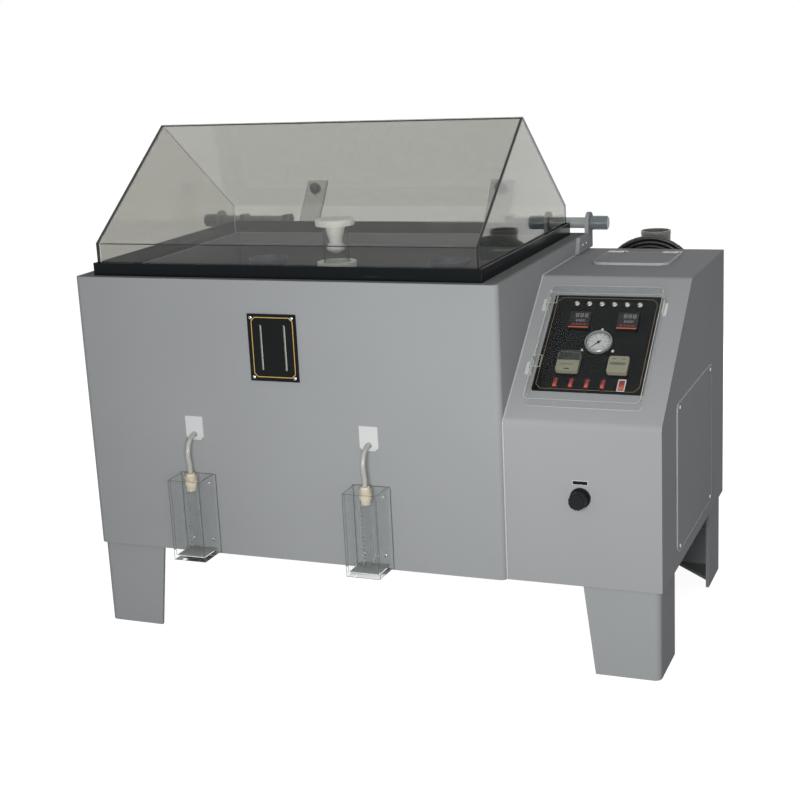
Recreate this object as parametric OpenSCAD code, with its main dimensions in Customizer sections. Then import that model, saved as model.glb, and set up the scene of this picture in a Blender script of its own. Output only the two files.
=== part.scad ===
// Salt-fog environmental test chamber: a heated plastic tank with a clear tent lid
// in a water seal, on four bent-plate legs, and a control console on its right side.
// Millimetres, +Z up, front towards -Y, origin at the bottom centre of the whole object.

/* [Tank] */
// Width of the tank body
tank_w = 1060; // [900:10:1300]
// Depth of the tank body
tank_d = 765; // [700:5:1000]
// Height of the tank walls
tank_h = 669; // [620:1:900]
// Thickness of the tank walls
wall_t = 8; // [6:0.5:12]
// Outer radius of the heat-bent vertical corners
corner_r = 16; // [13:1:30]
// Thickness of the deck and floor plates
plate_t = 8; // [6:0.5:12]

/* [Legs] */
// Height of the legs
leg_h = 208; // [120:1:320]
// Width of a leg's front plate at the top
leg_w = 171; // [130:1:220]
// Amount by which the front plate narrows towards the floor
leg_taper = 25; // [0:1:50]
// Depth of a leg's side plate
leg_d = 152; // [130:1:220]
// Thickness of the leg plates
leg_t = 8; // [6:0.5:12]
// Distance of the legs behind the body's faces
leg_inset = 6; // [3:1:12]
// Side of the triangular foot plate
foot_a = 104; // [60:1:120]

/* [Water seal and chamber] */
// Distance of the seal trough from the tank's sides
trough_side = 41; // [30:1:80]
// Distance of the seal trough from the tank's front
trough_front = 25; // [18:1:60]
// Distance of the seal trough from the tank's back
trough_rear = 29; // [24:1:60]
// Thickness of the trough walls
trough_t = 5; // [3:0.5:7]
// Clear width of the trough
trough_gap = 24; // [20:1:34]
// Height of the trough's outer wall above the deck
trough_rise = 30; // [24:1:45]
// Height of the trough's inner wall above the deck
trough_lip = 3; // [1:0.5:8]
// Depth of the trough's floor below the deck
trough_sink = 9.5; // [9:0.5:14]
// Wall thickness of the inner chamber
liner_t = 6; // [4:0.5:8]
// Depth of the inner chamber
liner_depth = 490; // [400:5:560]
// Width of the ledges that carry specimen bars
ledge_w = 25; // [15:1:40]
// Depth of the ledges below the chamber's top edge
ledge_drop = 28; // [20:1:80]

/* [Lid] */
// Thickness of the clear lid plates
lid_t = 6; // [4:0.5:8]
// Clearance between the lid and the trough's outer wall
lid_gap = 3; // [2:0.5:5]
// Height of the lid's front and back skirts above the deck
skirt_h = 76; // [50:1:120]
// Height of the ridge above the deck
ridge_h = 326; // [220:1:420]
// Distance of the hinge axis behind the trough
axis_back = 16; // [15.5:0.5:20]
// Height of the hinge axis above the deck
axis_h = 28; // [26:1:34]
// Radius of the hinge tubes
tube_r = 14; // [10:0.5:15]
// Length of each hinge tube inside the ear
tube_len = 218; // [150:1:260]
// Width of a saddle that joins a tube to the lid
saddle_w = 15; // [10:1:30]
// Radius of the end caps
cap_r = 18; // [17:0.5:24]
// Length of the end caps
cap_len = 45; // [30:1:70]
// Thickness of the hinge ears
ear_t = 10; // [8:0.5:14]
// Radius of a hinge ear around its bore
ear_r = 28; // [24:1:34]

/* [Lid rests] */
// Width of a rest arm
arm_w = 60; // [40:1:80]
// Thickness of a rest arm
arm_t = 8; // [5:0.5:10]
// Length of the sloping part of a rest arm
arm_len = 158; // [150:1:200]
// Height of the part that is bolted to the tank
arm_foot = 90; // [60:1:140]
// Angle of the arm from the vertical
arm_lean = 34; // [28:1:40]
// Distance from the tank's middle to an arm's middle
arm_pitch = 272; // [150:1:400]
// Radius of the rubber bumpers
bumper_r = 16; // [10:1:20]
// Height of the rubber bumpers
bumper_h = 16; // [10:1:20]
// Place of the bumper along the arm
bumper_at = 130; // [120:1:140]

/* [Spray tower and funnels] */
// Distance of the spray tower behind the tank's front
tower_y = 355; // [250:5:450]
// Radius of the tower's tubes
tower_r = 31.5; // [24:0.5:40]
// Height of the clear tube's foot below the deck
tower_foot = 27; // [10:1:60]
// Length of the clear tube
tower_tube = 96; // [70:1:130]
// Radius of the tower's cap and collar
tower_cap_r = 49; // [42:1:60]
// Thickness of the tower's cap
tower_cap_t = 16; // [8:1:24]
// Rim radius of the fog funnels
funnel_r = 50; // [40:1:60]
// Height of a funnel's bowl
funnel_h = 45; // [30:1:60]
// Distance of the funnels behind the tank's front
funnel_y = 340; // [250:5:420]
// Distance of the left funnel from the tank's left side
funnel_left = 350; // [250:5:420]
// Distance of the right funnel from the tank's right side
funnel_right = 229; // [200:1:400]

/* [Level gauge] */
// Width of the level plate
level_w = 122; // [100:1:160]
// Height of the level plate
level_h = 157; // [120:1:200]
// Distance of the level plate's middle to the left of the tank's middle
level_shift = 10; // [-60:1:60]
// Distance of the level plate's upper edge below the tank's top
level_drop = 76; // [50:1:110]
// Thickness of the level plate
level_t = 5; // [3:0.5:8]
// Distance between the two sight slots
slot_pitch = 60; // [40:1:70]
// Length of a sight slot
slot_len = 108; // [80:1:120]
// Width of a sight slot
slot_w = 8; // [6:0.5:10]

/* [Fog collectors] */
// Distance of the left collector's middle from the tank's left side
collector_left = 296; // [200:1:360]
// Distance of the right collector's middle from the tank's right side
collector_right = 315; // [220:1:420]
// Width of a collector holder
holder_w = 84; // [60:1:100]
// Width of a holder's back plate
holder_back_w = 94; // [74:1:120]
// Depth of a collector holder
holder_d = 75; // [60:1:100]
// Height of a collector holder
holder_h = 198; // [160:1:240]
// Wall thickness of a holder
holder_t = 4; // [3:0.5:6]
// Radius of the measuring cylinder
cylinder_r = 14; // [10:0.5:18]
// Outer radius of the collector hoses
hose_r = 6; // [4:0.5:7]
// Width of a collector's tag plate
tag_w = 46; // [36:1:60]
// Height of a collector's tag plate
tag_h = 58; // [44:1:70]
// Thickness of the tag plates
tag_t = 3; // [2:0.5:5]

/* [Console] */
// Width of the console
console_w = 350; // [330:1:420]
// Distance of the console's front behind the tank's front
console_in = 10; // [6:1:40]
// Distance of the console's top below the tank's top
console_drop = 37; // [20:1:100]
// Height of the console's front slope
slope_h = 263; // [220:1:280]
// Depth of the console's front slope
slope_d = 333; // [300:1:380]
// Distance of the console's back before the tank's back
console_rear = 17; // [12:1:60]
// Wall thickness of the console
shell_t = 6; // [4:0.5:8]
// Outer radius of the console's bends
bend_r = 22; // [10:1:40]

/* [Control panel] */
// Width of the black instrument panel
panel_w = 246; // [240:1:260]
// Length of the instrument panel along the slope
panel_l = 275; // [270:1:290]
// Distance of the panel from the console's left side
panel_x = 47; // [44:1:60]
// Distance of the panel above the front bend
panel_v = 85; // [70:1:100]
// Thickness of the instrument panel
panel_t = 4; // [3:0.5:6]
// Width of the clear panel cover
cover_w = 260; // [252:1:280]
// Length of the clear panel cover
cover_l = 328; // [300:1:340]
// Height of the clear panel cover
cover_h = 27; // [24:1:35]
// Wall thickness of the panel cover
cover_t = 3; // [2:0.5:5]
// Corner radius of the panel cover
cover_r = 14; // [6:1:20]
// Radius of the pressure gauge
gauge_r = 31; // [28:0.5:34]
// Height of the gauge's middle above the panel's lower edge, along the slope
gauge_up = 136; // [120:1:150]
// Side of the square controllers
ctrl_w = 48; // [40:1:52]
// Distance between the controllers' middles
ctrl_pitch = 110; // [90:1:130]
// Height of the controllers' middles above the panel's lower edge
ctrl_up = 199; // [195:1:210]
// Width of the timer on the left
timer_w = 51; // [46:1:56]
// Length of the timer along the slope
timer_l = 53; // [46:1:56]
// Width of the counter on the right
counter_w = 45; // [40:1:52]
// Length of the counter along the slope
counter_l = 46; // [40:1:50]
// Distance between the middles of the timer and the counter
timer_pitch = 112; // [104:1:120]
// Height of the timer's middle above the panel's lower edge
timer_up = 75; // [72:1:80]
// Radius of a pilot lamp's bezel
lamp_r = 6.2; // [4:0.2:8]
// Distance between neighbouring pilot lamps
lamp_pitch = 29; // [20:1:32]
// Height of the pilot lamps above the panel's lower edge
lamp_up = 250; // [244:1:258]
// Width of a small rocker
rocker_w = 8; // [7:0.5:12]
// Length of a small rocker
rocker_l = 25; // [18:0.5:26]
// Width of the mains rocker
main_w = 12; // [10:0.5:17]
// Length of the mains rocker
main_l = 27; // [22:0.5:28]
// Distance between the middles of neighbouring small rockers
rocker_pitch = 35.5; // [28:0.5:40]
// Distance of the first rocker's middle from the panel's left side
rocker_from = 51; // [30:1:60]
// Distance between the middles of the last small rocker and the mains rocker
main_from = 41.5; // [30:0.5:44]
// Height of the rockers' middles above the panel's lower edge
rocker_up = 21; // [20.5:0.5:24]

/* [Regulator] */
// Distance of the regulator from the console's left side
reg_x = 172; // [120:1:240]
// Height of the regulator above the body's bottom
reg_z = 205; // [150:1:250]
// Radius of the regulator's knob
knob_r = 19; // [14:0.5:24]
// Length of the regulator's knob
knob_len = 27; // [20:1:36]

/* [Hatch and access panel] */
// Width of the hatch cover
hatch_w = 184; // [160:1:220]
// Depth of the hatch cover
hatch_d = 162; // [140:1:200]
// Thickness of the hatch cover
hatch_t = 6; // [4:0.5:10]
// Distance of the hatch from the console's left side
hatch_x = 78; // [60:1:90]
// Distance of the hatch's rear edge before the console's back
hatch_back = 94; // [80:1:120]
// Width of the side access panel
access_w = 412; // [300:1:420]
// Distance of the side access panel's upper edge below the console's top
access_drop = 248; // [230:1:320]
// Thickness of the side access panel
access_t = 3; // [2:0.5:5]

/* [Exhaust and power coil] */
// Outer radius of the exhaust elbow
duct_r = 37.5; // [30:0.5:40]
// Wall thickness of the exhaust elbow
duct_t = 3.2; // [2:0.2:5]
// Distance of the exhaust elbow's horizontal run below the console's top
duct_drop = 45; // [45:1:90]
// Length of the exhaust elbow's horizontal run behind the console
duct_run = 52; // [50:1:80]
// Middle radius of the exhaust elbow's bend
duct_bend = 45; // [42:1:60]
// Length of the exhaust elbow's upright end
duct_stub = 33; // [30:1:80]
// Outer radius of the drain pipe
drain_r = 20; // [14:0.5:25]
// Length of the drain pipe
drain_len = 70; // [40:1:120]
// Distance of the drain pipe from the tank's left side
drain_x = 200; // [80:1:400]
// Height of the drain pipe above the body's bottom
drain_up = 60; // [40:1:100]
// Radius of the power cable
cable_r = 5; // [4:0.5:6]
// Height of the cable gland above the body's bottom
gland_up = 352; // [250:1:400]

/* [Hidden] */
$fn = 64;
fit = 0.2;
run = 0.06;
bezel_lap = 2;
hair = 0.01;
seat_gap = 0.3;
hose_gap = 0.5;
rocker_gap = 0.6;
screw_r = 4;
screw_h = 2;

// console size, and the places that follow from it and from the tank's height
console_d = tank_d - console_in - console_rear;
console_h = tank_h - console_drop;
front_h = console_h - slope_h;
access_h = console_h - 38 - access_drop;
level_z = tank_h - level_drop - level_h;
duct_z = console_h - duct_drop;
hatch_y = console_d - hatch_back - hatch_d;

// heights
z_body = leg_h;
z_deck = leg_h + tank_h;
z_top = z_body + console_h;

// places across the front, in the tank's own corner frame
level_x = tank_w / 2 - level_shift - level_w / 2;
collector_xs = [collector_left, tank_w - collector_right];

// chamber and seal trough
trough_x0 = trough_side;
trough_x1 = tank_w - trough_side;
trough_y0 = trough_front;
trough_y1 = tank_d - trough_rear;
trough_z0 = z_deck - trough_sink - trough_t;
trough_z1 = z_deck + trough_rise;
lip_z = z_deck + trough_lip;
in_wall = trough_t + trough_gap;
liner_in = trough_t + trough_gap + trough_t + fit;
liner_x0 = trough_x0 + liner_in;
liner_x1 = trough_x1 - liner_in;
liner_y0 = trough_y0 + liner_in;
liner_y1 = trough_y1 - liner_in;
liner_z0 = lip_z - liner_depth;
nozzle_h = z_deck - tower_foot - liner_z0 - plate_t - 40;

// lid section, as y and z
lid_in = trough_t + lid_gap;
lid_x0 = trough_x0 + lid_in;
lid_x1 = trough_x1 - lid_in;
lid_y0 = trough_y0 + lid_in;
lid_y1 = trough_y1 - lid_in;
lid_mid = (lid_y0 + lid_y1) / 2;
skirt_z0 = trough_z0 + trough_t + seat_gap;
skirt_z1 = z_deck + skirt_h;
ridge_z = z_deck + ridge_h;
pitch_a = atan2(ridge_z - skirt_z1, lid_mid - lid_y0);
axis_y = trough_y1 + axis_back;
axis_z = z_deck + axis_h;
cap_floor = 8;

// console, in its own corner frame
con_x = tank_w;
slope_a = atan2(console_h - front_h, slope_d);
slope_l = norm([console_h - front_h, slope_d]);
con_y0 = console_in;
con_y1 = console_in + console_d;

// panel and its cover
panel_lap = 4;
cover_x = panel_x + panel_w / 2 - cover_w / 2;
cover_v = panel_v + panel_l + 11 - cover_l;
hinge_r = 3.5;
hinge_pin = 1.5;
hinge_off = 6;
leaf_t = 1.6;
leaf_w = 12;
hinge_x = cover_x - hinge_r - 3;

// hatch hinge
hatch_hx = 40;
hatch_axis_y = con_y0 + hatch_y + hatch_d + 6;
hatch_axis_z = z_top + 5;

// vent slots in the console's back
vent_x = 120;
vent_w = 110;
vent_up = 90;
vent_pitch = 18;

// extent of the whole object
left_out = ear_t + seat_gap + cap_len;
right_out = tank_w + console_w + access_t + screw_h;
front_out = holder_d;
duct_y = con_y1 + duct_run + duct_bend;
duct_lip = 0.8;
back_out = duct_y + duct_r + duct_lip;

// power coil
coil_in = 93;
coil_out = 131;
coil_t = 24;
coil_y = con_y1 + 33;
coil_x = con_x + 158;
coil_z = z_body + duct_z + duct_r - coil_in;
coil_mid = (coil_in + coil_out) / 2;
gland_x = con_x + 40;
gland_z = z_body + gland_up;
gland_len = 30;
lead_y = con_y1 + gland_len + seat_gap;
lead_bend = 42;
lead_route = [[gland_x, lead_y, gland_z], [gland_x, lead_y + 3, gland_z],
    [gland_x, lead_y + 0.5 * lead_bend, gland_z + 0.12 * lead_bend],
    [gland_x, lead_y + 0.866 * lead_bend, gland_z + 0.48 * lead_bend],
    [gland_x, lead_y + lead_bend, gland_z + lead_bend],
    [gland_x, lead_y + lead_bend - 4, gland_z + lead_bend + 28],
    [gland_x - 5, lead_y + lead_bend - 17, gland_z + lead_bend + 63],
    [gland_x - 12, lead_y + lead_bend - 30, gland_z + lead_bend + 98],
    [coil_x - coil_out + cable_r, coil_y + 4.5, coil_z]];
tail_x = coil_x + coil_out - cable_r;
tail_route = [[tail_x, coil_y - 6.5, coil_z], [tail_x, coil_y - 6.5, coil_z - 50],
    [tail_x - 2, coil_y - 3, coil_z - 110], [tail_x - 2, coil_y - 3, coil_z - 160]];

// switches as place across, place along the slope, width, length
SWITCHES = [for (i = [0:3]) [panel_x + rocker_from + rocker_pitch * i, panel_v + rocker_up, rocker_w, rocker_l]];
MAIN_SWITCH = [SWITCHES[3][0] + main_from, panel_v + rocker_up - 1, main_w, main_l];

// instruments as place across, place along the slope, width, length
panel_mid = panel_x + panel_w / 2;
gauge_u = panel_mid + 4;
gauge_v = panel_v + gauge_up;
CTRL = [for (s = [-1, 1]) [gauge_u + s * ctrl_pitch / 2, panel_v + ctrl_up, ctrl_w, ctrl_w]];
TIMER = [[gauge_u - timer_pitch / 2, panel_v + timer_up, timer_w, timer_l],
    [gauge_u + timer_pitch / 2, panel_v + timer_up - 3, counter_w, counter_l]];

// moves the tank's corner frame to the object's own origin
module seat() {
    translate([(left_out - right_out) / 2, (front_out - back_out) / 2, 0]) children();
}

// a frame on the console's slope: across, along the slope, away from it
module on_slope(u, v, off) {
    translate([con_x + u, con_y0 + v * cos(slope_a) - off * sin(slope_a),
        z_body + front_h + v * sin(slope_a) + off * cos(slope_a)])
        rotate([slope_a, 0, 0]) children();
}

// a rectangle with four round corners
module round_rect(w, d, r) {
    translate([r, 0]) square([w - 2 * r, d]);
    translate([0, r]) square([w, d - 2 * r]);
    for (x = [r, w - r], y = [r, d - r]) translate([x, y]) circle(r);
}

// a block with four round upright edges
module round_block(w, d, h, r) {
    linear_extrude(h) round_rect(w, d, r);
}

// a box in the tank frame from its two corners
module span(a, b) {
    translate(a) cube(b - a);
}

function unit(v) = v / norm(v);

// points of the arc that rounds corner b of the path a, b, c
function soft(a, b, c, r, n = 6) =
    let (u = unit(a - b), v = unit(c - b), half = acos(u * v) / 2)
    let (m = b + unit(u + v) * r / sin(half), p = unit(b + u * r / tan(half) - m))
    let (q = unit(b + v * r / tan(half) - m), f = acos(p * q))
    [for (i = [0:n]) m + r * (p * sin((1 - i / n) * f) + q * sin(i / n * f)) / sin(f)];

// a point on a smooth curve through the route's points
function spline(p, i, t) =
    let (a = p[max(i - 1, 0)], b = p[i], c = p[i + 1], d = p[min(i + 2, len(p) - 1)])
    0.5 * (2 * b + (c - a) * t + (2 * a - 5 * b + 4 * c - d) * t * t + (3 * b - a - 3 * c + d) * t * t * t);

// a round cord along a route, with sides across and steps between two points
module cord(route, r, sides = 8, steps = 5) {
    path = [for (i = [0:len(route) - 2], k = [0:steps - 1]) spline(route, i, k / steps), route[len(route) - 1]];
    last = len(path) - 1;
    rings = [for (i = [0:last]) let (
        t = unit(path[min(i + 1, last)] - path[max(i - 1, 0)]),
        s = unit(cross(t, [1, 0, 0])), w = cross(t, s))
        for (k = [0:sides - 1]) path[i] + r * (s * cos(360 * k / sides) + w * sin(360 * k / sides))];
    polyhedron(rings, concat(
        [[for (k = [0:sides - 1]) k]],
        [for (i = [0:last - 1], k = [0:sides - 1])
            [i * sides + k, (i + 1) * sides + k, (i + 1) * sides + (k + 1) % sides, i * sides + (k + 1) % sides]],
        [[for (k = [sides - 1:-1:0]) last * sides + k]]));
}

// tank

module tank_shell() {
    seat() color([0.58, 0.6, 0.6]) difference() {
        translate([0, 0, z_body]) round_block(tank_w, tank_d, tank_h, corner_r);
        translate([wall_t, wall_t, z_body - 1])
            round_block(tank_w - 2 * wall_t, tank_d - 2 * wall_t, tank_h + 2, corner_r - wall_t);
        span([level_x + 18, -1, z_body + level_z + 18],
            [level_x + level_w - 18, wall_t + 1, z_body + level_z + level_h - 18]);
        for (x = collector_xs) hose_hole(x);
        translate([drain_x, tank_d + 1, z_body + drain_up]) rotate([90, 0, 0]) cylinder(h = wall_t + 2, r = drain_r + fit);
    }
}

// the hole in the front for a collector's hose
module hose_hole(x) {
    translate([x, wall_t + 1, hose_z()]) rotate([90, 0, 0]) cylinder(h = wall_t + 20, r = hose_r + hose_gap);
}

function hose_z() = z_body + 297;

module tank_floor() {
    seat() color([0.5, 0.52, 0.52]) translate([wall_t + fit, wall_t + fit, z_body])
        round_block(tank_w - 2 * (wall_t + fit), tank_d - 2 * (wall_t + fit), plate_t, corner_r - wall_t);
}

module tank_deck() {
    seat() color([0.42, 0.44, 0.44]) difference() {
        translate([wall_t + fit, wall_t + fit, z_deck - plate_t])
            round_block(tank_w - 2 * (wall_t + fit), tank_d - 2 * (wall_t + fit), plate_t, corner_r - wall_t);
        span([trough_x0 - fit, trough_y0 - fit, z_deck - plate_t - 1],
            [trough_x1 + fit, trough_y1 + fit, z_deck + 1]);
    }
}

module water_seal_trough() {
    seat() color([0.07, 0.075, 0.08]) difference() {
        span([trough_x0, trough_y0, trough_z0], [trough_x1, trough_y1, trough_z1]);
        inset_span(trough_t, lip_z, trough_z1 + 1);
        difference() {
            inset_span(trough_t, trough_z0 + trough_t, trough_z1 + 1);
            inset_span(in_wall, trough_z0, trough_z1 + 2);
        }
        inset_span(in_wall + trough_t, trough_z0 - 1, trough_z1 + 1);
    }
}

// a box at one distance inside the trough's outline
module inset_span(d, z0, z1) {
    span([trough_x0 + d, trough_y0 + d, z0], [trough_x1 - d, trough_y1 - d, z1]);
}

module chamber_liner() {
    seat() color([0.72, 0.74, 0.74]) {
        difference() {
            span([liner_x0, liner_y0, liner_z0], [liner_x1, liner_y1, lip_z]);
            span([liner_x0 + liner_t, liner_y0 + liner_t, liner_z0 + plate_t],
                [liner_x1 - liner_t, liner_y1 - liner_t, lip_z + 1]);
        }
        for (y = [liner_y0 + liner_t, liner_y1 - liner_t - ledge_w])
            span([liner_x0 + liner_t, y, lip_z - ledge_drop - liner_t],
                [liner_x1 - liner_t, y + ledge_w, lip_z - ledge_drop]);
    }
}

// legs: one leg in its own corner frame, turned to each corner of the object

module leg() {
    w = leg_w;
    difference() {
        linear_extrude(leg_h) {
            translate([corner_r, 0]) square([w - corner_r, leg_t]);
            translate([0, corner_r]) square([leg_t, leg_d - corner_r]);
            intersection() {
                square(corner_r);
                translate([corner_r, corner_r]) difference() {
                    circle(corner_r);
                    circle(corner_r - leg_t);
                }
            }
        }
        translate([0, leg_t + 1, 0]) rotate([90, 0, 0]) linear_extrude(leg_t + 2)
            polygon([[w, leg_h], [w + 1, leg_h], [w + 1, -1], [w - leg_taper, -1], [w - leg_taper, 0]]);
    }
    linear_extrude(leg_t) polygon([[leg_t, corner_r], [corner_r, leg_t], [leg_t + foot_a, leg_t], [leg_t, leg_t + foot_a]]);
}

module leg_front_left() {
    seat() color([0.56, 0.58, 0.58]) translate([leg_inset, leg_inset, 0]) leg();
}

module leg_front_right() {
    seat() color([0.56, 0.58, 0.58])
        translate([con_x + console_w - leg_inset, con_y0 + leg_inset, 0]) mirror([1, 0, 0]) leg();
}

module leg_rear_left() {
    seat() color([0.56, 0.58, 0.58]) translate([leg_inset, tank_d - leg_inset, 0]) mirror([0, 1, 0]) leg();
}

module leg_rear_right() {
    seat() color([0.56, 0.58, 0.58])
        translate([con_x + console_w - leg_inset, con_y1 - leg_inset, 0]) rotate([0, 0, 180]) leg();
}

// lid

// the lid's outline seen from the side, drawn smaller by d all round
module lid_section(d) {
    k = d * tan((90 - pitch_a) / 2);
    polygon([[lid_y0 + d, skirt_z0], [lid_y0 + d, skirt_z1 - k], [lid_mid, ridge_z - d / cos(pitch_a)],
        [lid_y1 - d, skirt_z1 - k], [lid_y1 - d, skirt_z0]]);
}

// draws a side outline of y and z as a plate that lies across the tank
module across(x, w) {
    translate([x, 0, 0]) rotate([90, 0, 90]) linear_extrude(w) children();
}

module lid_canopy() {
    seat() color([0.75, 0.8, 0.8, 0.35]) across(lid_x0 + lid_t, lid_x1 - lid_x0 - 2 * lid_t) difference() {
        lid_section(0);
        lid_section(lid_t);
        translate([lid_y0 + lid_t, skirt_z0 - 1]) square([lid_y1 - lid_y0 - 2 * lid_t, 2]);
    }
}

module lid_end_plates() {
    seat() color([0.75, 0.8, 0.8, 0.35]) for (x = [lid_x0, lid_x1 - lid_t]) across(x, lid_t) lid_section(0);
}

module lid_hinge_tubes() {
    seat() color([0.62, 0.65, 0.64]) {
        for (x = [cap_floor - left_out, tank_w - tube_len]) translate([x, axis_y, axis_z]) rotate([0, 90, 0])
            difference() {
                cylinder(h = tube_len + left_out - cap_floor, r = tube_r);
                translate([0, 0, -1]) cylinder(h = tube_len + left_out, r = tube_r - 3);
            }
        for (x = [lid_x0 + 20, tube_len - saddle_w, tank_w - tube_len, lid_x1 - 20 - saddle_w])
            across(x, saddle_w) saddle();
    }
}

// a saddle block over a hinge tube, with its foot on the lid's back skirt
module saddle() {
    difference() {
        union() {
            translate([lid_y1, trough_z1 + 2]) square([axis_y - lid_y1, axis_z + tube_r + 6 - trough_z1 - 2]);
            intersection() {
                translate([axis_y, axis_z]) circle(tube_r + 6);
                translate([axis_y - hair, axis_z]) square(2 * tube_r + 12);
            }
        }
        translate([axis_y, axis_z]) circle(tube_r + hair);
    }
}

module lid_end_caps() {
    seat() color([0.36, 0.42, 0.46]) {
        translate([-ear_t - seat_gap - cap_len, axis_y, axis_z]) rotate([0, 90, 0]) end_cap();
        translate([tank_w + ear_t + seat_gap + cap_len, axis_y, axis_z]) rotate([0, -90, 0]) end_cap();
    }
}

// a pipe cap with its closed end at the origin and its socket over the tube's end
module end_cap() {
    rotate_extrude() polygon([[0, 0], [cap_r - 3, 0], [cap_r, 3], [cap_r, cap_len], [tube_r + run, cap_len],
        [tube_r + run, cap_floor], [0, cap_floor]]);
}

module lid_ears() {
    seat() color([0.56, 0.58, 0.58]) for (x = [-ear_t, tank_w]) across(x, ear_t) difference() {
        union() {
            translate([axis_y, axis_z]) circle(ear_r);
            translate([axis_y - ear_r, z_deck - 35]) square([2 * ear_r - 12, axis_z - z_deck + 35]);
            polygon([[axis_y - 125, z_deck - 35], [axis_y - 108, z_deck + 5], [axis_y, z_deck + 5],
                [axis_y, z_deck - 35]]);
        }
        translate([axis_y, axis_z]) circle(tube_r + run);
    }
}

// rests for the open lid

module rest_arms() {
    seat() color([0.6, 0.62, 0.61]) for (s = [-1, 1]) across(tank_w / 2 + s * arm_pitch - arm_w / 2, arm_w)
        polygon([[tank_d, z_deck], [tank_d, z_deck - arm_foot], [tank_d + arm_t, z_deck - arm_foot],
            [tank_d + arm_t, z_deck - arm_t * tan(arm_lean / 2)], arm_point(arm_len, -arm_t), arm_point(arm_len, 0)]);
}

// a point s along a rest arm's front face and h in front of it, as y and z
function arm_point(s, h) = [tank_d + s * sin(arm_lean) - h * cos(arm_lean), z_deck + s * cos(arm_lean) + h * sin(arm_lean)];

module rest_bumpers() {
    seat() color([0.1, 0.1, 0.1]) for (s = [-1, 1])
        translate([tank_w / 2 + s * arm_pitch, arm_point(bumper_at, hair)[0], arm_point(bumper_at, hair)[1]])
            rotate([90 - arm_lean, 0, 0]) cylinder(h = bumper_h, r1 = bumper_r, r2 = bumper_r - 3);
}

// spray tower and fog funnels

module spray_tower_base() {
    seat() color([0.9, 0.9, 0.88]) translate([tank_w / 2, tower_y, 0]) {
        translate([0, 0, liner_z0 + plate_t]) rotate_extrude() polygon([[tower_r - 4, 0], [tower_cap_r, 0],
            [tower_cap_r, 6], [tower_r, 10], [tower_r, z_deck - tower_foot - liner_z0 - plate_t],
            [tower_r - 4, z_deck - tower_foot - liner_z0 - plate_t]]);
        translate([0, 0, z_deck - tower_foot]) rotate_extrude() polygon([[tower_r - 4, 0], [tower_cap_r, 0],
            [tower_cap_r, 14], [tower_r + 6, 14], [tower_r + 6, 5], [tower_r - 4, 5]]);
    }
}

module spray_tower_tube() {
    seat() color([0.85, 0.88, 0.88, 0.4]) translate([tank_w / 2, tower_y, z_deck - tower_foot + 5])
        difference() {
            cylinder(h = tower_tube, r = tower_r);
            translate([0, 0, -1]) cylinder(h = tower_tube + 2, r = tower_r - 3);
        }
}

module spray_cap() {
    seat() color([0.93, 0.92, 0.9]) translate([tank_w / 2, tower_y, z_deck - tower_foot + 5 + tower_tube])
        rotate_extrude() polygon([[0, tower_cap_t], [tower_cap_r - 3, tower_cap_t], [tower_cap_r, tower_cap_t - 3],
            [tower_cap_r - 1, 0], [tower_r - 6, 0], [tower_r - 16, -42], [tower_r - 8, -52], [tower_r - 10, -58],
            [8, -66], [0, -66]]);
}

module spray_nozzle() {
    seat() color([0.8, 0.85, 0.86, 0.6]) translate([tank_w / 2, tower_y, liner_z0 + plate_t])
        rotate_extrude() polygon([[0, 0], [20, 0], [20, 12], [8, 20], [8, nozzle_h - 32], [12, nozzle_h - 28],
            [12, nozzle_h - 16], [3, nozzle_h], [0, nozzle_h]]);
}

module fog_funnels() {
    top = lip_z - 7;
    foot = liner_z0 + plate_t;
    seat() color([0.25, 0.28, 0.31]) for (x = [funnel_left, tank_w - funnel_right]) translate([x, funnel_y, 0])
        rotate_extrude() polygon([[0, foot], [35, foot], [35, foot + 6], [6, foot + 12], [6, top - funnel_h],
            [funnel_r - 2, top - 12], [funnel_r, top], [funnel_r - 2, top], [funnel_r - 4, top - 11],
            [3, top - funnel_h + 4], [0, top - funnel_h + 4]]);
}

module drain_stub() {
    seat() color([0.5, 0.53, 0.54]) translate([drain_x, tank_d - wall_t, z_body + drain_up]) rotate([-90, 0, 0])
        difference() {
            cylinder(h = drain_len, r = drain_r);
            translate([0, 0, -1]) cylinder(h = drain_len + 2, r = drain_r - 3);
        }
}

// level gauge

module level_plate() {
    seat() color([0.03, 0.03, 0.03]) difference() {
        span([level_x, -level_t, z_body + level_z], [level_x + level_w, 0, z_body + level_z + level_h]);
        for (s = [-1, 1]) translate([level_x + level_w / 2 + s * slot_pitch / 2, 1, z_body + level_z + level_h / 2])
            rotate([90, 0, 0]) linear_extrude(level_t + 2) sight_slot();
    }
}

module sight_slot() {
    square([slot_w, slot_len - slot_w], center = true);
    for (s = [-1, 1]) translate([0, s * (slot_len - slot_w) / 2]) circle(slot_w / 2);
}

module level_tubes() {
    seat() color([0.85, 0.88, 0.9, 0.6]) for (s = [-1, 1])
        translate([level_x + level_w / 2 + s * slot_pitch / 2, 6 + fit, z_body + level_z + 18]) difference() {
            cylinder(h = level_h - 36, r = 6);
            translate([0, 0, 3]) cylinder(h = level_h - 42, r = 4.5);
        }
}

// fog collectors on the front

module tag_plates() {
    seat() color([0.93, 0.93, 0.92]) {
        for (x = collector_xs) difference() {
            translate([x - tag_w / 2, 0, hose_z() - 14]) rotate([90, 0, 0]) linear_extrude(tag_t)
                polygon([[8, 0], [tag_w - 8, 0], [tag_w, 8], [tag_w, tag_h], [0, tag_h], [0, 8]]);
            hose_hole(x);
        }
        span([con_x + reg_x - 18, con_y0 - 1.5, z_body + reg_z + 29], [con_x + reg_x + 18, con_y0, z_body + reg_z + 39]);
    }
}

// places of the hose and the cylinder below it
cylinder_y = -holder_d / 2;
holder_z = z_body + 3;
cylinder_z = holder_z + 10;
stopper_z = holder_z + holder_h - 21;
stopper_h = 30;

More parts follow.
